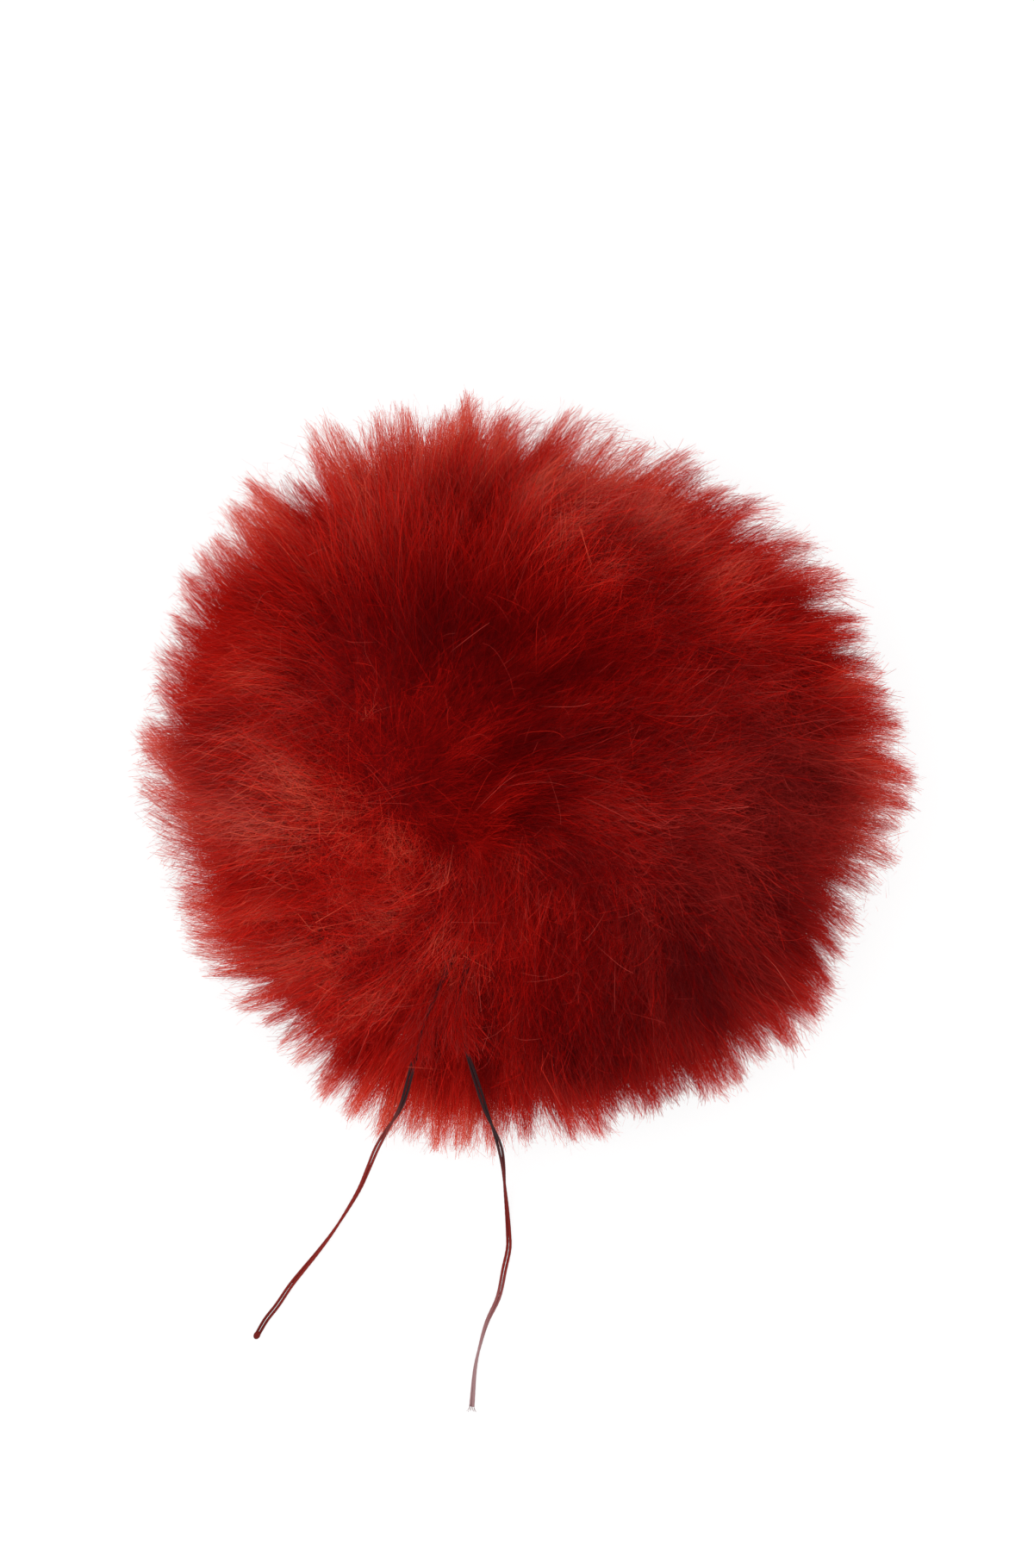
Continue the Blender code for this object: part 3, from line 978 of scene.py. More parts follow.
@dataclass
class Coat:
    """All hairs of one kind, grown: the arrays have a row for each hair.

    Attributes:
        hair: The kind.
        roots: Unit vectors of the roots.
        lines: Points of each hair, from its root to its tip.
        tone: Place of each hair's shade across the finish's map, from 0 to 1.
        upturn: How much the hairs' shading faces upward.
        roll: Greatest turn of a ribbon about its own hair.
        spread: Least and greatest width, as shares of the kind's mean.
        map_half: Half the room that one hair takes across the map.
    """

    hair: Hair
    roots: np.ndarray
    lines: np.ndarray
    tone: np.ndarray
    upturn: float = 0.35
    roll: float = 1.25
    spread: tuple[float, float] = (0.6, 1.4)
    map_half: float = 0.004

    def keep(self, which: np.ndarray) -> "Coat":
        """The coat with only some of its hairs."""
        return Coat(self.hair, self.roots[which], self.lines[which], self.tone[which])

    def ribbons(self, chance: np.random.Generator) -> tuple[np.ndarray, np.ndarray]:
        """Corners and shading normals of the narrow ribbons that stand for the hairs.

        Args:
            chance: Source of random numbers.

        Returns:
            Corners and normals, two for each point but the root, which has one.
        """
        count, points = self.lines.shape[:2]
        tangent = unit(np.gradient(self.lines, axis=1))
        facing = unit(self.lines - BALL_MIDDLE) + np.array((0.0, 0.0, self.upturn))
        facing = unit(facing - tangent * (facing * tangent).sum(-1, keepdims=True))
        side = np.cross(tangent, facing)
        roll = chance.uniform(-self.roll, self.roll, (count, 1, 1))
        across = side * np.cos(roll) + facing * np.sin(roll)
        along = np.linspace(0.0, 1.0, points)
        taper = np.interp(along, (0.0, 0.3, 0.6, 1.0), (0.0, 0.85, 1.0, 0.7))
        half = 0.5 * self.hair.width * chance.uniform(*self.spread, (count, 1, 1)) * taper[:, None]
        pair = np.stack((self.lines - across * half, self.lines + across * half), axis=2)
        corners = pair.reshape(count, -1, 3)[:, 1:]
        return corners, np.repeat(facing, 2, axis=1)[:, 1:]

    def mesh_arrays(self, chance: np.random.Generator) -> dict[str, np.ndarray]:
        """Arrays that describe the coat as one mesh.

        Args:
            chance: Source of random numbers.

        Returns:
            Points, normals, loops, corner counts and map places.
        """
        corners, normals = self.ribbons(chance)
        count, size = corners.shape[:2]
        flat, totals = self.hair.faces()
        sway = np.where(flat % 2 == 0, -self.map_half, self.map_half)
        sway[0] = 0.0
        up = ((flat + 1) // 2) / (self.hair.points - 1)
        across = np.clip(self.tone[:, None] + sway[None, :], 0.0, 1.0)
        return {
            "points": corners.reshape(-1, 3),
            "normals": normals.reshape(-1, 3),
            "loops": (flat[None, :] + (np.arange(count) * size)[:, None]).ravel(),
            "totals": np.tile(totals, count),
            "map": np.stack((across, np.repeat(up[None, :], count, axis=0)), axis=-1).reshape(-1, 2),
        }


@dataclass
class Strays:
    """Long pale hairs that lie loose over the top of the pile.

    Attributes:
        form: The ball's form.
        placed: Those that the eye finds: start from above, heading and curl in
            degrees, length, and how many lie side by side.
        bundle: How far hairs that lie side by side differ: in start, in both angles,
            and in length as a share of it.
        count: Number of further ones, at chance.
        reach: How far from the middle the further ones start.
        length: Their least and greatest length.
        points: Points along each.
        width: Mean width.
        over: Depth in the pile that they lie at.
        arch: How much higher their middle rises.
        drift: Mean turn from the outward way, and how far it differs, in radians.
        curl: How far they curl, in radians.
        sway: Extra turn of their heading halfway along, as a share of the curl.
        tones: Range of their tone.
        dull: Share of duller hairs.
    """

    form: PileForm
    placed: Rows = (
        (-38.7, -4.9, 3, 14, 22, 1), (-7.8, 33.6, -8, -30, 9.5, 1),
        (-7.4, -6.9, 62, -20, 8.5, 1), (-1.5, 5.9, 50, -90, 9.5, 1),
        (53, -15.6, 5, 10, 5.2, 2), (7.5, -40.5, -60, 260, 9, 1),
        (9.5, -43, 20, -290, 8, 1), (11.5, -46.5, 10, 180, 9, 1),
        (13.5, -42, -100, -200, 8, 1), (8, -47.5, 60, 230, 7, 1),
        (-14, -12, 35, 60, 7, 1), (16, 22, 25, -40, 11, 1),
        (-22, -30, -30, 120, 7, 1), (24, -4, -12, 30, 12, 2),
        (-8.8, -8, 66, -25, 11, 6), (-6, -3, 58, -60, 12, 5),
        (-31, -4.6, 4, 10, 11, 7), (-42, 24, -58, 26, 16, 6),
        (4, 4, 20, -40, 13, 4), (20, 12, -14, 16, 13, 4),
    )
    bundle: tuple[float, float, float] = (0.9, 9.0, 0.15)
    count: int = 380
    reach: float = 56.0
    length: tuple[float, float] = (3.0, 12.0)
    points: int = 9
    width: float = 0.042
    over: float = 1.20
    arch: float = 0.16
    drift: tuple[float, float] = (-0.3, 0.8)
    curl: float = 1.1
    sway: float = 0.15
    tones: tuple[float, float] = (0.56, 0.88)
    dull: float = 0.5

    def starts(self, chance: np.random.Generator) -> np.ndarray:
        """Draw where the strays start and how they run.

        Args:
            chance: Source of random numbers.

        Returns:
            Start from above, heading and curl in radians, and length, a hair a row.
        """
        spread = self.reach * np.sqrt(chance.random(self.count))
        turn = chance.uniform(0.0, FULL_TURN, self.count)
        heading = turn + self.drift[0] + self.drift[1] * chance.normal(size=self.count)
        curl = self.curl * chance.normal(size=self.count)
        length = chance.uniform(*self.length, self.count)
        further = np.column_stack(
            (spread * np.cos(turn), spread * np.sin(turn), heading, curl, length)
        )
        many = [row[5] for row in self.placed]
        placed = np.repeat(np.array(self.placed), many, axis=0)
        start, angle, share = self.bundle
        apart = np.full((len(placed), 5), (start, start, angle, angle, share))
        apart[:, 4] *= placed[:, 4]
        apart *= chance.normal(size=apart.shape) * (placed[:, 5:] > 1)
        placed = placed[:, :5] + apart
        placed[:, 2:4] = np.radians(placed[:, 2:4])
        return np.vstack((placed, further))

    def grow(self, chance: np.random.Generator) -> Coat:
        """Lay the strays over the pile.

        Args:
            chance: Source of random numbers.

        Returns:
            Their coat.
        """
        across, up, heading, curl, length = np.hsplit(self.starts(chance), 5)
        count = len(across)
        hair = Hair(StrandKind.STRAY, count, self.points, self.width)
        share = np.linspace(0.0, 1.0, self.points)
        angle = heading + curl * (share + self.sway * np.sin(FULL_TURN * share))
        step = length / (self.points - 1)
        across = across + np.cumsum(np.cos(angle) * step, axis=1)
        up = up + np.cumsum(np.sin(angle) * step, axis=1)
        height = self.over + self.arch * np.sin(math.pi * np.clip(share, 0.0, 0.8) / 0.8)
        azimuth = np.degrees(np.arctan2(up, across)) % 360.0
        tips = round_table(self.form.outline, azimuth) + self.form.tip_past_outline
        mean = self.form.backing_radius + height * (tips - self.form.backing_radius)
        flat = np.stack((across, up), axis=-1) / mean[..., None]
        rise = np.sqrt(np.clip(1.0 - (flat**2).sum(-1, keepdims=True), 0.02, 1.0))
        directions = np.concatenate((flat, rise), axis=-1)
        depth = np.broadcast_to(height, across.shape).reshape(-1)
        lines = self.form.shell(directions.reshape(-1, 3), depth).reshape(*across.shape, 3)
        tone = chance.uniform(*self.tones, count)
        tone = FurFinish.place(tone, chance.random(count) < self.dull)
        return Coat(hair, unit(directions[:, 0]), lines, tone)


@dataclass
class Cover:
    """Hair that lies over a tie where it comes out of the pile.

    Attributes:
        tie: The tie's centreline.
        end: Share of the tie that the last hairs start from.
        start: Share of the tie where the cover starts.
        count: Number of hairs.
        points: Points along each.
        width: Mean width.
        reach: Least and greatest length, as a share of the tie's.
        spread: How far to each side of the tie they start.
        wander: How far they run aside.
        above: Least and further height above the tie.
        sunk: How far below that their roots start.
        tone: Mean tone.
        tone_spread: How far their tones differ.
        dull: Share of duller hairs.
    """

    tie: np.ndarray
    end: float
    start: float = 0.02
    count: int = 420
    points: int = 5
    width: float = 0.066
    reach: tuple[float, float] = (0.04, 0.08)
    spread: float = 2.6
    wander: float = 2.0
    above: tuple[float, float] = (0.75, 1.0)
    sunk: float = 2.0
    tone: float = 0.54
    tone_spread: float = 0.09
    dull: float = 0.35

    def grow(self, chance: np.random.Generator) -> Coat:
        """Lay the hairs along the tie, a little above it.

        Args:
            chance: Source of random numbers.

        Returns:
            Their coat.
        """
        rows = (self.count, 1)
        share = np.linspace(0.0, 1.0, self.points)
        first = self.start + (self.end - self.start) * np.sqrt(chance.random(self.count))
        place = first[:, None] + share * chance.uniform(*self.reach, rows)
        steps = np.linspace(0.0, 1.0, len(self.tie))
        lines = np.stack([np.interp(place, steps, self.tie[:, axis]) for axis in range(3)], axis=-1)
        across = chance.uniform(-self.spread, self.spread, rows)
        across = across + share * chance.normal(size=rows) * self.wander
        lines[..., 0] += across + 0.5 * np.sin(4.0 * share + 6.0 * chance.random(rows))
        rise = self.above[0] + self.above[1] * chance.random(rows)
        lines[..., 2] += rise - self.sunk * (1.0 - share) ** 4
        tone = self.tone + self.tone_spread * chance.normal(size=self.count)
        dull = chance.random(self.count) < self.dull
        return Coat(
            Hair(StrandKind.DOWN, self.count, self.points, self.width),
            unit(lines[:, 0] - BALL_MIDDLE), lines, FurFinish.place(np.clip(tone, 0.02, 0.98), dull),
        )


class Gathering:
    """The places that hair gathers at, each with its own chance values.

    Attributes:
        wisps: Unit vectors of the small gatherings.
        tufts: Unit vectors of the large ones.
        wisp_length: How much longer the hair of each wisp is, of the wisps' spread.
        wisp_turn: How far each wisp turns aside, likewise.
        wisp_tone: How much paler each wisp is, likewise.
        tuft_tone: How much paler each tuft is, from -1 to 1.
        tuft_pull: How strongly each tuft draws its hair together.
        ring: Azimuths of the tufts that the outline is parted into, in degrees.
        ring_length: How much further each of those reaches, of their spread.
        ring_pull: How strongly each of those draws its hair together.
    """

    def __init__(self, wisps: int, tufts: int, ring: int, chance: np.random.Generator) -> None:
        """Draw them.

        Args:
            wisps: Number of small gatherings.
            tufts: Number of large ones.
            ring: Number of tufts round the outline.
            chance: Source of random numbers.
        """
        self.wisps = spread_directions(wisps, 0.9, chance)
        self.tufts = spread_directions(tufts, 0.9, chance)
        self.wisp_length = chance.normal(size=wisps + tufts)[:wisps]
        self.wisp_turn = chance.normal(size=wisps)
        self.wisp_tone = chance.normal(size=wisps)
        self.tuft_tone = chance.uniform(-1.0, 1.0, tufts)
        self.tuft_pull = chance.uniform(0.6, 1.0, tufts)
        self.ring = (np.arange(ring) + chance.uniform(-0.36, 0.36, ring)) * 360.0 / ring
        self.ring_length = chance.normal(size=ring)
        self.ring_pull = chance.uniform(0.22, 0.70, ring)


@dataclass
class Locks:
    """Where each of some hairs belongs, a value for each hair.

    Attributes:
        roots: Unit vectors of the roots.
        wisp: Its wisp.
        core: How near it is to that wisp's middle, from 0 to 1.
        tuft: Its tuft.
        edge: How near it is to that tuft's edge, squared.
        rim: How much it belongs to the rim, from 0 to 1.
        loose: Whether it has worked loose.
    """

    roots: np.ndarray
    wisp: np.ndarray
    core: np.ndarray
    tuft: np.ndarray
    edge: np.ndarray
    rim: np.ndarray
    loose: np.ndarray


@dataclass
class Pile:
    """The long pile: hair gathered into small wisps, and wisps into tufts.

    Attributes:
        form: The ball's form and lay.
        ties: Centrelines of the ties, which press the hair under them aside.
        covered: Share of each tie that hair still lies over.
        kinds: The kinds of hair.
        wisps: Number of small gatherings of hair.
        tufts: Number of large ones.
        ridge: How much nearer hairs above each other count as when they gather; a
            low value makes tufts tall and narrow, so that they part the outline.
        ring: Number of tufts that the outline is parted into.
        ring_notch: How much lower the pile is at the edges of those, in mm.
        highest: Height that no hair on top stands above.
        root_depth: Depth in the pile that no modelled end starts below.
        least: Least length of such an end, as a share of the pile's depth.
        resting: Least height of a hair above the floor, and the most that its tip adds.
        seed: Seed of all that is at chance.
        trim: How far past the solids' outline the pile is trimmed.
        rim_band: Height of a unit root at which rim hair ends, and how fast it does.
        spread: How far the reach differs by tuft of the outline and by wisp, in mm.
        tuft_lean: Largest share of the way to its tuft that a wisp leans.
        wisp_turn: How far a wisp turns aside, in radians.
        loose_pull: Pull of its wisp on a loose hair.
        loose_crimp: How much more a loose hair bends.
        drawn: Share of the rim's hair that its tuft draws in fully, and the pull on the rest.
        inner: Reach at which hair counts as the middle's, and the run over which it does.
        whirl: How much further the hair in the middle turns clockwise, in radians.
        stray_turn: How far single hairs turn aside, at the rim and further in the middle.
        stray_lean: How far single hairs lean.
        rim_tufts: Tufts and gaps that stand out in the outline: azimuth, extra reach
            in mm, and half width in degrees.
        thin_rims: Stretches of the rim where less hair reaches the outline: azimuth,
            shortfall as a share of the pile's depth, and half width in degrees.
        tone: Mean tone of the dye.
        tone_spread: How far it differs by hair, by wisp and by tuft.
        painted_rim_light: How much paler the tips are at the rim, painted light where light shines
            through the thin fringe, and its reach, in mm.
        loose_tone: How much paler the loose hairs are.
        dull: Mean share of duller hairs.
        light_and_dye_swaths: Broad changes of tone from above, partly the dye's own unevenness and
            partly painted light and shade, lighter on the left and darker in the middle: place, half
            width, change of tone.
        plum_patches: Where the dye took duller: place, half width, share of hairs added.
        dye_size: Length that the dye's waves count as one, in mm.
        sweep: How far the crown's hair is combed right and up, and how far that reaches.
        sweep_at: The middle of the combed crown.
        ruffle: How far the upper hair is ruffled.
        ties_from: Height in the picture below which the ties lie on the pile.
        ties_at: Middle of the part of the picture where they do, and its half sizes.
        ties_clear: How near a hair may pass over a tie, from above and in height.
        ties_over: Share of the hairs nearer than that which stay.
    """

    form: PileForm
    ties: list[np.ndarray]
    covered: tuple[float, ...] = (0.20, 0.14)
    kinds: tuple[Hair, ...] = (
        Hair(
            StrandKind.GUARD, count=42000, points=5, width=0.068, shown=0.70, shortening=0.46,
            evenness=0.78, gather=(0.80, 1.00), crimp=2.6, loose=0.02, stand=0.3, tuck=0.16,
        ),
        Hair(
            StrandKind.DOWN, count=125000, points=3, width=0.064, shown=0.42, shortening=0.48,
            evenness=0.72, gather=(0.50, 1.00), crimp=5.5, loose=0.03, stand=0.6, tuck=0.07,
        ),
        Hair(
            StrandKind.FUZZ, count=280000, points=2, width=0.056, shown=0.17, shortening=0.50,
            evenness=0.70, gather=(0.20, 0.95), crimp=8.5, loose=0.03, stand=0.90,
        ),
    )
    wisps: int = 7600
    tufts: int = 300
    ridge: float = 0.12
    ring: int = 74
    ring_notch: float = 2.8
    highest: float = 95.0
    root_depth: float = 0.22
    least: float = 0.12
    resting: tuple[float, float] = (0.08, 0.5)
    seed: int = 5
    trim: float = 2.1
    rim_band: tuple[float, float] = (1.35, 1.7)
    spread: tuple[float, float] = (0.8, 0.9)
    tuft_lean: float = 0.3
    wisp_turn: float = 0.05
    loose_pull: float = 0.1
    loose_crimp: float = 1.6
    drawn: tuple[float, float] = (0.8, 0.3)
    inner: tuple[float, float] = (0.90, 0.20)
    whirl: float = 0.20
    stray_turn: tuple[float, float] = (0.02, 0.18)
    stray_lean: float = 0.12
    rim_tufts: Rows = (
        (3, 1, 5), (8, 1.6, 1.6), (19, -1.8, 4), (33, 1.6, 4), (42, 1, 1.8),
        (46.8, -6, 1.3), (51, 1.8, 2), (56.5, -2, 3), (70.5, 2, 2.2), (74.5, -2, 1.6),
        (82.5, 1.6, 2), (88.5, -4.6, 1.8), (99, 3.2, 2.2), (105, -2, 1.6), (111.5, 1.4, 1.8),
        (119.5, 3, 2), (126, -6, 2.2), (132, 5.2, 1.6), (138, 1.4, 2),
        (145.5, 1.2, 2.4), (151.5, -1.4, 1.8), (155, 1.6, 1.4), (179, 2, 7),
        (195, -1.8, 4), (212, 1.6, 2.5), (225.5, -1.8, 3), (262, 1.2, 12),
        (254.5, -1.6, 2.4), (270, -1.4, 2), (288, -1.8, 4), (300, 2, 2.2),
        (307.5, 1.6, 2), (313.5, -3.6, 1.6), (318, 2.6, 2.4), (324, 1.2, 2),
        (341, -1.8, 3), (355.5, 1.4, 3),
    )
    thin_rims: Rows = (
        (72, 0.16, 12), (47, 0.08, 9), (226, 0.13, 7), (327, -0.10, 14),
        (350, 0.05, 6),
    )
    tone: float = 0.447
    tone_spread: tuple[float, float, float] = (0.045, 0.05, 0.05)
    painted_rim_light: tuple[float, float] = (0.36, 68.0)
    loose_tone: float = 0.11
    dull: float = 0.35
    # Partly painted light and shade: lighter on the left where the light falls, darker in the middle.
    light_and_dye_swaths: Rows = (
        (-3, 27, 20, -0.18), (-34, 24, 11, -0.12), (36, -38, 24, -0.16),
        (10, 6, 22, -0.22), (-9, 11, 7, 0.12), (-42, -7, 22, 0.36),
        (-28, -34, 22, 0.18), (4, -30, 9, 0.16), (11, 58, 7, 0.14),
        (-8, 57, 8, -0.14), (7, -54, 9, -0.18), (-4, 54, 18, 0.32),
        (-48, 24, 12, 0.06), (-34, 18, 9, -0.12), (42, 0, 13, -0.08),
        (14, 50, 12, 0.34), (-49, -1, 11, 0.22), (-38, -10, 10, 0.12),
        (-36, 45, 9, 0.18), (-26, -15, 9, 0.08), (-54, 18, 9, 0.24),
        (22, 62, 10, 0.20), (-39, -43, 9, 0.12), (-56, 11, 3, -0.16),
        (-52, 2, 3, -0.14), (-48, -6, 3, -0.18), (-45, -13, 3, -0.20),
        (-41, -20, 3.5, -0.18), (-14, -2, 9, -0.16), (20, 40, 8, 0.14),
        (-9, -38, 6, 0.20), (-51, 26, 6, 0.16), (-38, -42, 5, 0.10),
        (32, 42, 6, -0.11), (-11, 16, 6, 0.17), (-34, 6, 7, -0.10),
        (45, 35, 6, 0.16), (21, 35, 6, 0.14), (-45, -7, 7, 0.10),
        (32, -11, 7, 0.11), (32, -29, 7, 0.11), (-41, 27, 6, -0.12),
        (-25, -4, 5, 0.10), (-3, -5, 6, -0.09), (-23, -19, 6, 0.09),
        (-52, -21, 5, -0.10), (30, 49, 5, 0.10),
    )
    plum_patches: Rows = (
        (50, -6, 20, 0.55), (34, -32, 20, 0.35), (12, 8, 10, 0.25),
        (-56, -8, 10, 0.20), (2, 26, 22, -0.40), (-28, -8, 20, -0.32),
        (-8, 0, 14, -0.20),
    )
    dye_size: float = 67.0
    sweep: tuple[float, float, float] = (6.0, 0.5, 22.0)
    sweep_at: tuple[float, float] = (2.0, 4.0)
    ruffle: float = 3.0
    ties_from: float = -43.0
    ties_at: tuple[float, float, float, float] = (-14.0, -60.0, 16.0, 22.0)
    ties_clear: tuple[float, float] = (0.8, 0.7)
    ties_over: float = 0.04

    def build(self) -> list[bpy.types.Object]:
        """Grow the pile and make a piece of each side of it.

        Returns:
            The pieces.
        """
        drawn = np.random.default_rng(self.seed + 1)
        gathering = Gathering(self.wisps, self.tufts, self.ring, drawn)
        chance = np.random.default_rng(self.seed)
        coats = [self.grow(hair, gathering, chance) for hair in self.kinds]
        finish = FurFinish().make("dyed_fur")
        coats.append(Strays(self.form).grow(chance))
        for tie, end in zip(self.ties, self.covered):
            coats.append(Cover(tie, end).grow(chance))
        orders = [np.argsort(azimuths(coat.roots)) for coat in coats]
        pieces = []
        for index, side in enumerate(PileSide):
            shares = [np.array_split(order, len(PileSide))[index] for order in orders]
            kept = [coat.keep(share) for coat, share in zip(coats, shares)]
            piece = self.piece(side.value, kept, chance)
            piece.data.materials.append(finish)
            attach(piece, BODY)
            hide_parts("fur_ball")
            log.info("%s: %d hairs", piece.name, sum(len(share) for share in shares))
            pieces.append(piece)
        return pieces

    def roots(self, count: int, chance: np.random.Generator) -> np.ndarray:
        """Directions of the hairs' roots, sparser under the ball.

        Args:
            count: Number of hairs.
            chance: Source of random numbers.

        Returns:
            Unit vectors, one a row.
        """
        many = spread_directions(int(count * 1.32), 0.5, chance)
        share = np.interp(many[:, 2], (-0.85, -0.6, -0.35, 1.0), (0.22, 0.3, 1.0, 1.0))
        kept = many[chance.random(len(many)) < share]
        chance.shuffle(kept)
        return kept[:count]

    def locks(self, hair: Hair, at: Gathering, chance: np.random.Generator) -> Locks:
        """Root the hairs of one kind, and find the wisp and tuft of each.

        Args:
            hair: The kind of hair.
            at: The places that hair gathers at.
            chance: Source of random numbers.

        Returns:
            Where each hair belongs.
        """
        roots = self.roots(hair.count, chance)
        narrow = np.array((1.0, 1.0, self.ridge))
        wisp, wisp_off = nearest(roots, at.wisps)
        tuft = nearest(at.wisps * narrow, at.tufts * narrow)[0][wisp]
        tuft_off = np.linalg.norm((roots - at.tufts[tuft]) * narrow, axis=1)
        wisp_size = math.sqrt(4.0 * math.pi / self.wisps) / 2.0
        tuft_size = math.sqrt(4.0 * math.pi / self.tufts * self.ridge) / 2.0
        return Locks(
            roots, wisp, hump(wisp_off, 0.6 * wisp_size), tuft,
            edge=np.clip(tuft_off / tuft_size, 0.0, 1.4) ** 2,
            rim=np.clip(self.rim_band[0] - np.abs(roots[:, 2]) * self.rim_band[1], 0.0, 1.0),
            loose=chance.random(len(roots)) < hair.loose,
        )

    def grow(self, hair: Hair, at: Gathering, chance: np.random.Generator) -> Coat:
        """Grow the hairs of one kind along the lay, each drawn into its wisp and tuft.

        Args:
            hair: The kind of hair.
            at: The places that hair gathers at.
            chance: Source of random numbers.

        Returns:
            The coat.
        """
        locks = self.locks(hair, at, chance)
        roots, rim, wisp = locks.roots, locks.rim, locks.wisp
        count = len(roots)
        pull_wisp = np.where(locks.loose, self.loose_pull, chance.uniform(*hair.gather, count))
        toward = (self.tuft_lean * at.tuft_pull[locks.tuft] * (1.0 - rim))[:, None]
        goal = at.wisps[wisp] + (at.tufts[locks.tuft] - at.wisps[wisp]) * toward
        heading = unit(roots + (goal - roots) * pull_wisp[:, None])
        upright = heading * np.column_stack((np.ones((count, 2)), 1.0 - 0.9 * rim))
        wave = mixed(TURN_WAVES, upright) * (1.0 - 0.6 * rim)
        wave += self.wisp_turn * at.wisp_turn[wisp] * (1.0 - 0.5 * rim)
        sway = mixed(SWAY_WAVES, heading)
        sway += self.stray_lean * chance.normal(size=count) * (1.0 - 0.67 * rim)

        past = np.full(count, 1.2)
        apart = self.form.laid(heading, past, wave, sway)
        inner = np.clip((self.inner[0] - np.hypot(apart[:, 0], apart[:, 1])) / self.inner[1], 0.0, 1.0)
        turned = self.stray_turn[0] + self.stray_turn[1] * inner
        wave += turned * chance.normal(size=count) - self.whirl * inner
        apart = self.form.laid(heading, past, wave, sway)
        side, side_off = around(azimuths(apart), at.ring)
        drawn = np.where(chance.random(count) < self.drawn[0], 1.0, self.drawn[1])
        wave -= math.pi / self.ring * side_off * (rim * at.ring_pull[side] * drawn)
        tips = self.form.laid(heading, np.ones(count), wave, sway)

        notch = self.ring_notch * (np.clip(np.abs(side_off), 0.0, 1.2) ** 2 - 0.3)
        change = self.trim + round_humps(self.rim_tufts, azimuths(tips))
        by_ring, by_wisp = self.spread
        change += by_ring * at.ring_length[side] + by_wisp * at.wisp_length[wisp] - notch
        start, length = self.depths(hair, locks, tips, change, chance)

        crimp = unit(chance.normal(size=(count, 3)))
        bent = hair.crimp * np.where(locks.loose, self.loose_crimp, 1.0) * chance.random(count)
        crimp *= (bent * (1.0 - 0.80 * rim))[:, None]
        phase = chance.uniform(0.0, FULL_TURN, count)
        shares = np.linspace(0.0, 1.0, hair.points)
        lines = np.zeros((count, hair.points, 3))
        for index, share in enumerate(shares):
            depth = start + (length - start) * share
            pull = (pull_wisp * np.clip((depth - 0.30) / 0.70, 0.0, 1.0) ** 1.2)[:, None]
            aim = unit(roots + (goal - roots) * pull)
            lain = depth + (length - depth) * hair.stand * (1.0 - rim)
            spot = self.form.shell(self.form.laid(aim, lain, wave, sway), depth)
            bend = share * np.cos(phase + 5.0 * share) * (0.35 + 0.65 * share)
            lines[:, index] = spot + crimp * bend[:, None] + self.swept(spot, roots, share)
        lines = self.folded_in(lines, change)
        lowest = self.resting[0] + self.resting[1] * chance.random(count)[:, None] * shares
        lines[:, :, 2] = np.clip(lines[:, :, 2], lowest, self.highest)
        coat = Coat(hair, roots, lines, self.tones(locks, at, lines, chance))
        return coat.keep(self.clear_of_ties(lines, chance))

    def depths(
        self,
        hair: Hair,
        locks: Locks,
        tips: np.ndarray,
        change: np.ndarray,
        chance: np.random.Generator,
    ) -> tuple[np.ndarray, np.ndarray]:
        """Depths in the pile that the hairs' modelled ends start and stop at.

        Args:
            hair: The kind of hair.
            locks: Where each hair belongs.
            tips: Directions of the hairs at full depth.
            change: How far the outline lies past its mean at each hair, in mm.
            chance: Source of random numbers.

        Returns:
            The start and the stop of each hair.
        """
        rim = locks.rim
        count = len(rim)
        thin = round_humps(self.thin_rims, azimuths(tips))
        met = self.form.trimmed_depth(tips, change)
        body = np.minimum(met - 0.05, 1.30) + mixed(DEPTH_WAVES, locks.roots) - thin * rim
        body *= 1.0 - 0.05 * locks.edge * (1.0 - rim)
        body -= hair.tuck * (1.0 - rim)
        short = chance.random(count) ** (hair.evenness * (1.0 - 0.4 * rim))
        length = body * (1.0 - hair.shortening * short)
        reaches = chance.random(count) < (0.12 + 0.45 * locks.core) * (0.25 + 0.20 * rim)
        long = body + thin * rim - 0.12 + 0.40 * chance.random(count)
        length = np.where(reaches, long, length)
        length = np.minimum(length, met * (1.0 - 0.03 * chance.random(count)))
        length = np.where(locks.loose, np.minimum(length * 1.25, met), length)
        length = np.maximum(length, self.root_depth + self.least)
        return np.maximum(self.root_depth, length - hair.shown), length

    def folded_in(self, lines: np.ndarray, change: np.ndarray) -> np.ndarray:
        """The hairs' points, with those past the trimmed outline folded back into it.

        Args:
            lines: The hairs' points.
            change: How far the outline lies past its mean at each hair, in mm.

        Returns:
            The new points.
        """
        reach = np.hypot(lines[..., 0], lines[..., 1])
        azimuth = azimuths(lines.reshape(-1, 3)).reshape(reach.shape)
        past = np.maximum(reach - round_table(self.form.outline, azimuth) - change[:, None], 0.0)
        kept = (reach - 1.5 * past) / np.maximum(reach, 1e-6)
        return np.concatenate((lines[..., :2] * kept[..., None], lines[..., 2:]), axis=-1)

    def swept(self, spot: np.ndarray, roots: np.ndarray, share: float) -> np.ndarray:
        """How far the upper hair is combed and ruffled to one side at a share of its length.

        Args:
            spot: Places of the hairs at that share.
            roots: Unit vectors of the roots.
            share: Share of the hairs' length.

        Returns:
            A shift for each hair.
        """
        across, up, reach = self.sweep
        upper = np.clip(roots[:, 2] * 2.0, 0.0, 1.0)
        off = np.hypot(spot[:, 0] - self.sweep_at[0], spot[:, 1] - self.sweep_at[1])
        ruffle = np.column_stack(
            (mixed(RUFFLE_ACROSS, roots), mixed(RUFFLE_UP, roots), np.zeros(len(roots)))
        )
        shift = np.outer(hump(off, reach) * upper, (across, up, -1.0))
        return (shift + self.ruffle * upper[:, None] * ruffle) * share**1.5

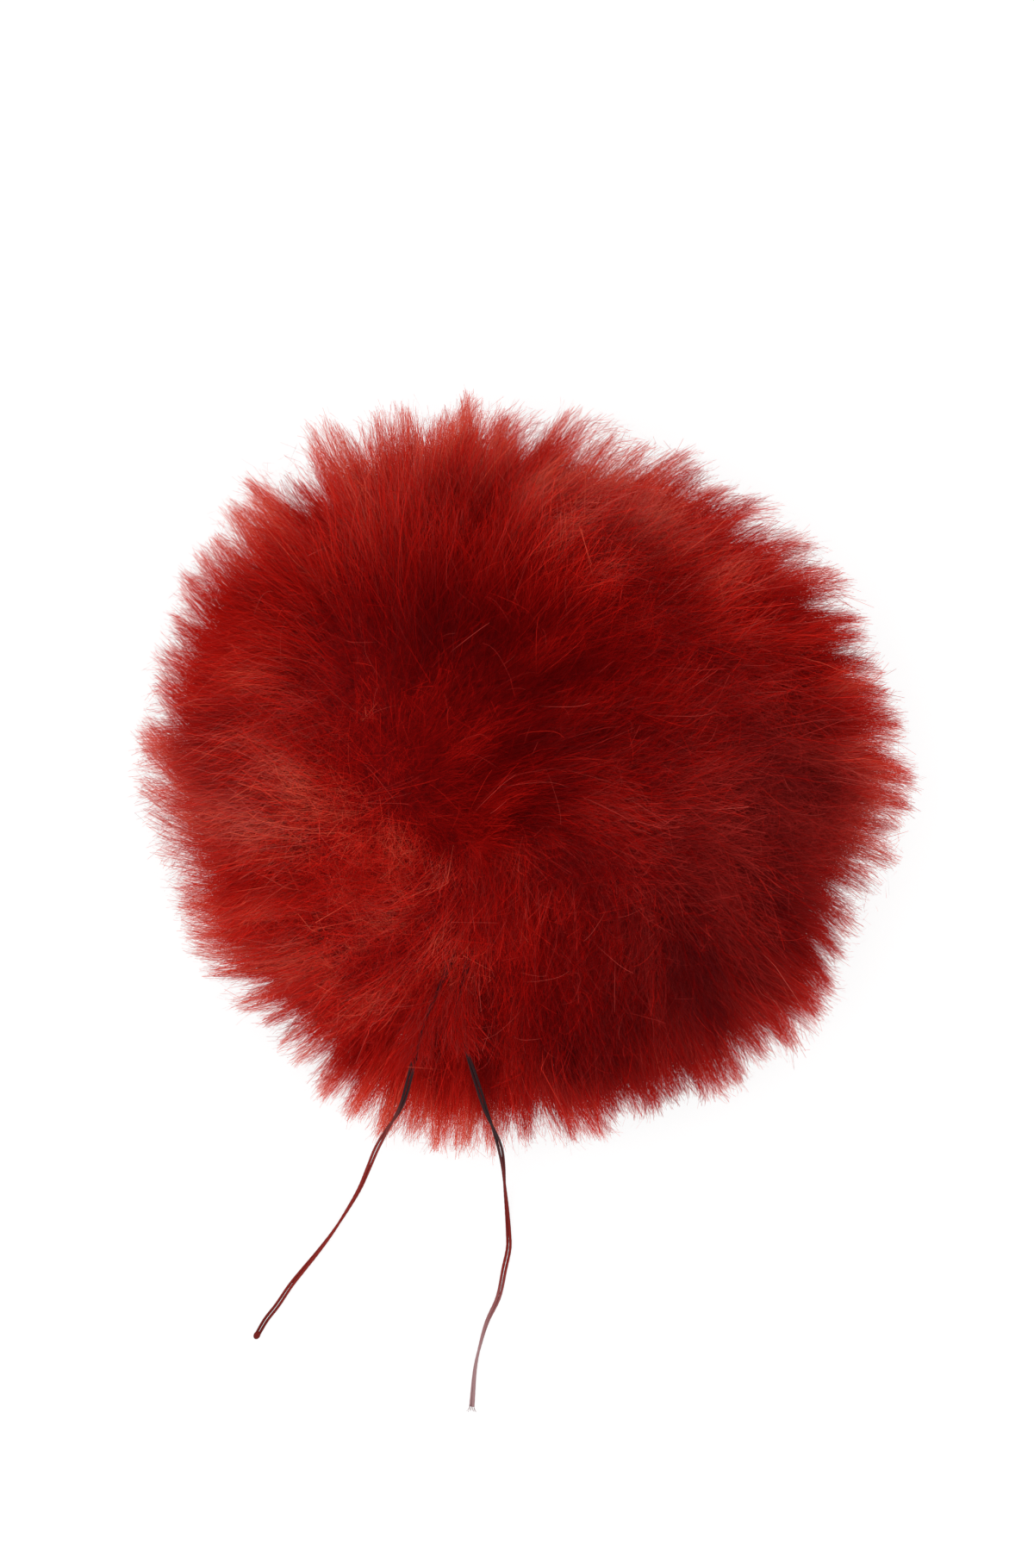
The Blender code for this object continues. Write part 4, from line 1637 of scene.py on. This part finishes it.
    def streaks(self, roots: np.ndarray, tips: np.ndarray) -> np.ndarray:
        """Fine mottle of the dye, drawn out along the lay of the hair.

        Args:
            roots: Unit vectors of the roots.
            tips: Places of the tips.

        Returns:
            A change of tone for each hair.
        """
        low = self.form.shell(roots, np.full(len(roots), 0.5))
        total = np.zeros(len(roots))
        for share in (0.3, 0.5, 0.7, 0.9, 1.1):
            total += mixed(STREAK_WAVES, (low + (tips - low) * share) / self.dye_size)
        return total / 3.0

    def tones(
        self, locks: Locks, at: Gathering, lines: np.ndarray, chance: np.random.Generator
    ) -> np.ndarray:
        """Tone of each hair: the dye took unevenly, hair by hair and tuft by tuft, with painted light
        and shade added: paler tips at the rim, and broad lighter and darker swaths from above.

        Args:
            locks: Where each hair belongs.
            at: The places that hair gathers at.
            lines: The hairs' points.
            chance: Source of random numbers.

        Returns:
            A place across the finish's map for each hair.
        """
        roots, tip = locks.roots, lines[:, -1]
        by_hair, by_wisp, by_tuft = self.tone_spread
        tone = self.tone + by_hair * chance.normal(size=len(roots))
        tone += by_wisp * at.wisp_tone[locks.wisp] + by_tuft * at.tuft_tone[locks.tuft]
        tone += mixed(DYE_WAVES, tip / self.dye_size) + self.streaks(roots, tip)
        # Painted light: tips at the rim are painted paler, as if lit through the thin fringe.
        paler, reach = self.painted_rim_light
        tone += paler * np.clip(np.hypot(tip[:, 0], tip[:, 1]) / reach, 0.0, 1.05) ** 9
        # Painted light and shade from above, together with the dye's broad unevenness.
        tone += flat_humps(self.light_and_dye_swaths, tip) * (roots[:, 2] > -0.2)
        tone += np.where(locks.loose, self.loose_tone, 0.0)
        plum = self.dull + mixed(DULL_WAVES, roots) + flat_humps(self.plum_patches, tip)
        return FurFinish.place(np.clip(tone, 0.02, 0.98), chance.random(len(roots)) < plum)

    def clear_of_ties(self, lines: np.ndarray, chance: np.random.Generator) -> np.ndarray:
        """Which hairs leave the ties in sight.

        Args:
            lines: The hairs' points, from root to tip.
            chance: Source of random numbers.

        Returns:
            True for each hair that stays.
        """
        count, points = lines.shape[:2]
        hides = np.zeros(count, dtype=bool)
        for tie in self.ties:
            shown = tie[tie[:, 1] < self.ties_from]
            for point in range(1, points):
                for share in (0.25, 0.5, 0.75, 1.0):
                    spot = lines[:, point - 1] + (lines[:, point] - lines[:, point - 1]) * share
                    near = (np.abs(spot[:, :2] - self.ties_at[:2]) < self.ties_at[2:]).all(axis=1)
                    near = np.flatnonzero(near & ~hides)
                    gap = shown[None, :, :] - spot[near, None, :]
                    flat = np.hypot(gap[..., 0], gap[..., 1])
                    closest = flat.argmin(axis=1)
                    rows = np.arange(len(near))
                    covers = flat[rows, closest] < self.ties_clear[0]
                    covers &= gap[rows, closest, 2] < self.ties_clear[1]
                    hides[near[covers]] = True
        return ~hides | (chance.random(count) < self.ties_over)

    def piece(
        self, name: str, coats: list[Coat], chance: np.random.Generator
    ) -> bpy.types.Object:
        """Make one mesh object of some coats of hair.

        Args:
            name: The object's name.
            coats: The coats.
            chance: Source of random numbers.

        Returns:
            The object, with its map: tone across, and root to tip up.
        """
        parts = [coat.mesh_arrays(chance) for coat in coats]
        first = np.cumsum([0] + [len(part["points"]) for part in parts])
        points = np.concatenate([part["points"] for part in parts])
        normals = np.concatenate([part["normals"] for part in parts])
        loops = np.concatenate([part["loops"] + start for part, start in zip(parts, first)])
        totals = np.concatenate([part["totals"] for part in parts])
        places = np.concatenate([part["map"] for part in parts])
        starts = np.concatenate(([0], np.cumsum(totals)[:-1]))
        mesh = bpy.data.meshes.new(name)
        mesh.vertices.add(len(points))
        mesh.vertices.foreach_set("co", (points * MM).astype(np.float32).ravel())
        mesh.loops.add(len(loops))
        mesh.loops.foreach_set("vertex_index", loops.astype(np.int32))
        mesh.polygons.add(len(totals))
        mesh.polygons.foreach_set("loop_start", starts.astype(np.int32))
        mesh.polygons.foreach_set("loop_total", totals.astype(np.int32))
        mesh.update(calc_edges=True)
        mesh.shade_smooth()
        layer = mesh.uv_layers.new(name=UV_NAME)
        layer.data.foreach_set("uv", places.astype(np.float32).ravel())
        mesh.normals_split_custom_set_from_vertices(normals)
        return placed_object(mesh)


@dataclass
class Studio:
    """A plain pale floor, soft light and a camera straight above.

    Attributes:
        picture_centre: What the middle of the picture looks at, in mm.
        picture_height: Height of the picture on the ball's widest level, in mm.
        level: Height of that level, in mm.
        distance: Height of the camera above that level, in mm.
        sensor: Width of the camera's sensor, in mm.
        furthest: How far the camera sees, in metres.
        lights: Name, place, width and power of each light.
        aim: Where the lights point, in mm.
        floor_reach: Half width of the floor, in mm.
        floor_shade: Grey of the floor's own surface.
        floor_glow: Light that comes through it.
    """

    picture_centre: tuple[float, float] = (-0.32, -1.6)
    picture_height: float = 291.2
    level: float = 25.0
    distance: float = 2400.0
    sensor: float = 36.0
    furthest: float = 20.0
    lights: tuple[tuple[str, tuple[float, float, float], float, float], ...] = (
        ("key_light", (-420.0, 60.0, 1250.0), 700.0, 2.6),
        ("top_light", (60.0, 160.0, 1300.0), 900.0, 1.2),
    )
    aim: tuple[float, float, float] = (0.0, 0.0, 30.0)
    floor_reach: float = 4000.0
    floor_shade: float = 0.25
    floor_glow: float = 0.80

    def build(self) -> None:
        """Build the floor, the lights, the world and the camera."""
        self.floor()
        self.light()
        self.camera()
        bpy.context.scene.view_settings.view_transform = "Standard"
        log.info("studio: floor, %d lights, camera", len(self.lights))

    def floor(self) -> None:
        """A wide pale light table at the level that the ball lies on."""
        mesh = bpy.data.meshes.new("floor")
        reach = self.floor_reach * MM
        signs = ((-1, -1), (1, -1), (1, 1), (-1, 1))
        mesh.from_pydata([(x * reach, y * reach, 0.0) for x, y in signs], [], [(0, 1, 2, 3)])
        floor = placed_object(mesh)
        paint = Paint("pale_floor", 0.9, 0.1)
        paint.shader.inputs["Base Color"].default_value = (*[self.floor_shade] * 3, 1.0)
        paint.shader.inputs["Emission Color"].default_value = (1.0, 1.0, 1.0, 1.0)
        paint.shader.inputs["Emission Strength"].default_value = self.floor_glow
        mesh.materials.append(paint.material)

    def light(self) -> None:
        """Soft lights above the ball, and an even white surround."""
        for name, place, size, power in self.lights:
            lamp = bpy.data.lights.new(name, "AREA")
            lamp.shape = "DISK"
            lamp.size = size * MM
            lamp.energy = power
            light = bpy.data.objects.new(name, lamp)
            light.location = Vector(place) * MM
            aim = Vector(self.aim) * MM - light.location
            light.rotation_euler = aim.to_track_quat("-Z", "Y").to_euler()
            bpy.context.collection.objects.link(light)
        world = bpy.data.worlds.new("white_surround")
        world.use_nodes = True
        background = world.node_tree.nodes["Background"]
        background.inputs["Color"].default_value = (1.0, 1.0, 1.0, 1.0)
        background.inputs["Strength"].default_value = 1.0
        bpy.context.scene.world = world

    def camera(self) -> None:
        """The camera, which looks straight down with the picture's top at +Y."""
        lens = bpy.data.cameras.new("camera")
        lens.sensor_width = self.sensor
        lens.lens = self.sensor * self.distance / self.picture_height
        lens.clip_end = self.furthest
        camera = bpy.data.objects.new("camera", lens)
        across, up = self.picture_centre
        camera.location = Vector((across, up, self.level + self.distance)) * MM
        bpy.context.collection.objects.link(camera)
        bpy.context.scene.camera = camera


CHARCOAL = (0.030, 0.006, 0.008)
WINE = (0.150, 0.015, 0.013)
BRICK = (0.300, 0.026, 0.020)
MAUVE = (0.450, 0.260, 0.265)

LEFT_TIE = Tie(
    node="tie_left",
    route=(
        (-11.1, -29.8, 62.85), (-11.6, -31.4, 64.9), (-13.2, -35.8, 67.4), (-15.4, -40.8, 68.2),
        (-17.4, -45.6, 65.6), (-19.4, -53.1, 56.6), (-21.6, -60.8, 42.8), (-24.5, -65.9, 25),
        (-26.5, -69.6, 12.8), (-28, -73.2, 5.6), (-29.8, -77.4, 2), (-32.1, -81.4, 0.85),
        (-34.9, -85.7, 0.65), (-37.7, -89.4, 0.65), (-40.4, -92.7, 0.65), (-42.8, -95.7, 0.65),
        (-45.3, -99.4, 0.65), (-47.4, -102.1, 0.65), (-49.1, -105, 0.65),
    ),
    far_end="knot",
    tones=((0.0, CHARCOAL), (0.34, CHARCOAL), (0.44, WINE), (0.60, BRICK), (0.90, BRICK), (1.0, WINE)),
    sealed=True,
    lay=84.0,
    flat_at=80.0,
)
RIGHT_TIE = Tie(
    node="tie_right",
    route=(
        (-8.3, -30.2, 63.3), (-8.8, -31.8, 65.4), (-9.8, -36, 67.9), (-11.2, -41, 69),
        (-11.2, -46, 66.7), (-9.2, -51.5, 61), (-7.5, -57, 53.4), (-6.1, -61.6, 45),
        (-4.6, -65.6, 33.5), (-3.5, -69.2, 21), (-2.9, -73, 10.5), (-2.6, -77, 4.4),
        (-2.2, -81.5, 1.5), (-1.9, -86, 0.7), (-1.9, -88.8, 0.65), (-2.7, -92.6, 0.65),
        (-3.8, -97.8, 0.65), (-5.9, -102.4, 0.65), (-7.2, -106.7, 0.65), (-8.2, -111.4, 0.65),
        (-8.8, -118.4, 0.65),
    ),
    far_end="bare",
    tones=((0.0, CHARCOAL), (0.50, CHARCOAL), (0.62, WINE), (0.80, BRICK), (0.92, MAUVE)),
    sealed=False,
    lay=68.0,
    flat_at=72.0,
)


def main() -> None:
    """Build the studio, the ties and the fur, and log each piece."""
    logging.basicConfig(level=logging.INFO, format="%(name)s: %(message)s")
    Studio().build()
    ties = [LEFT_TIE, RIGHT_TIE]
    for tie in ties:
        tie.build()
    form = PileForm()
    Backing(form).build()
    Pile(form, [tie.line(120)[0] for tie in ties]).build()


if __name__ == "__main__":
    main()
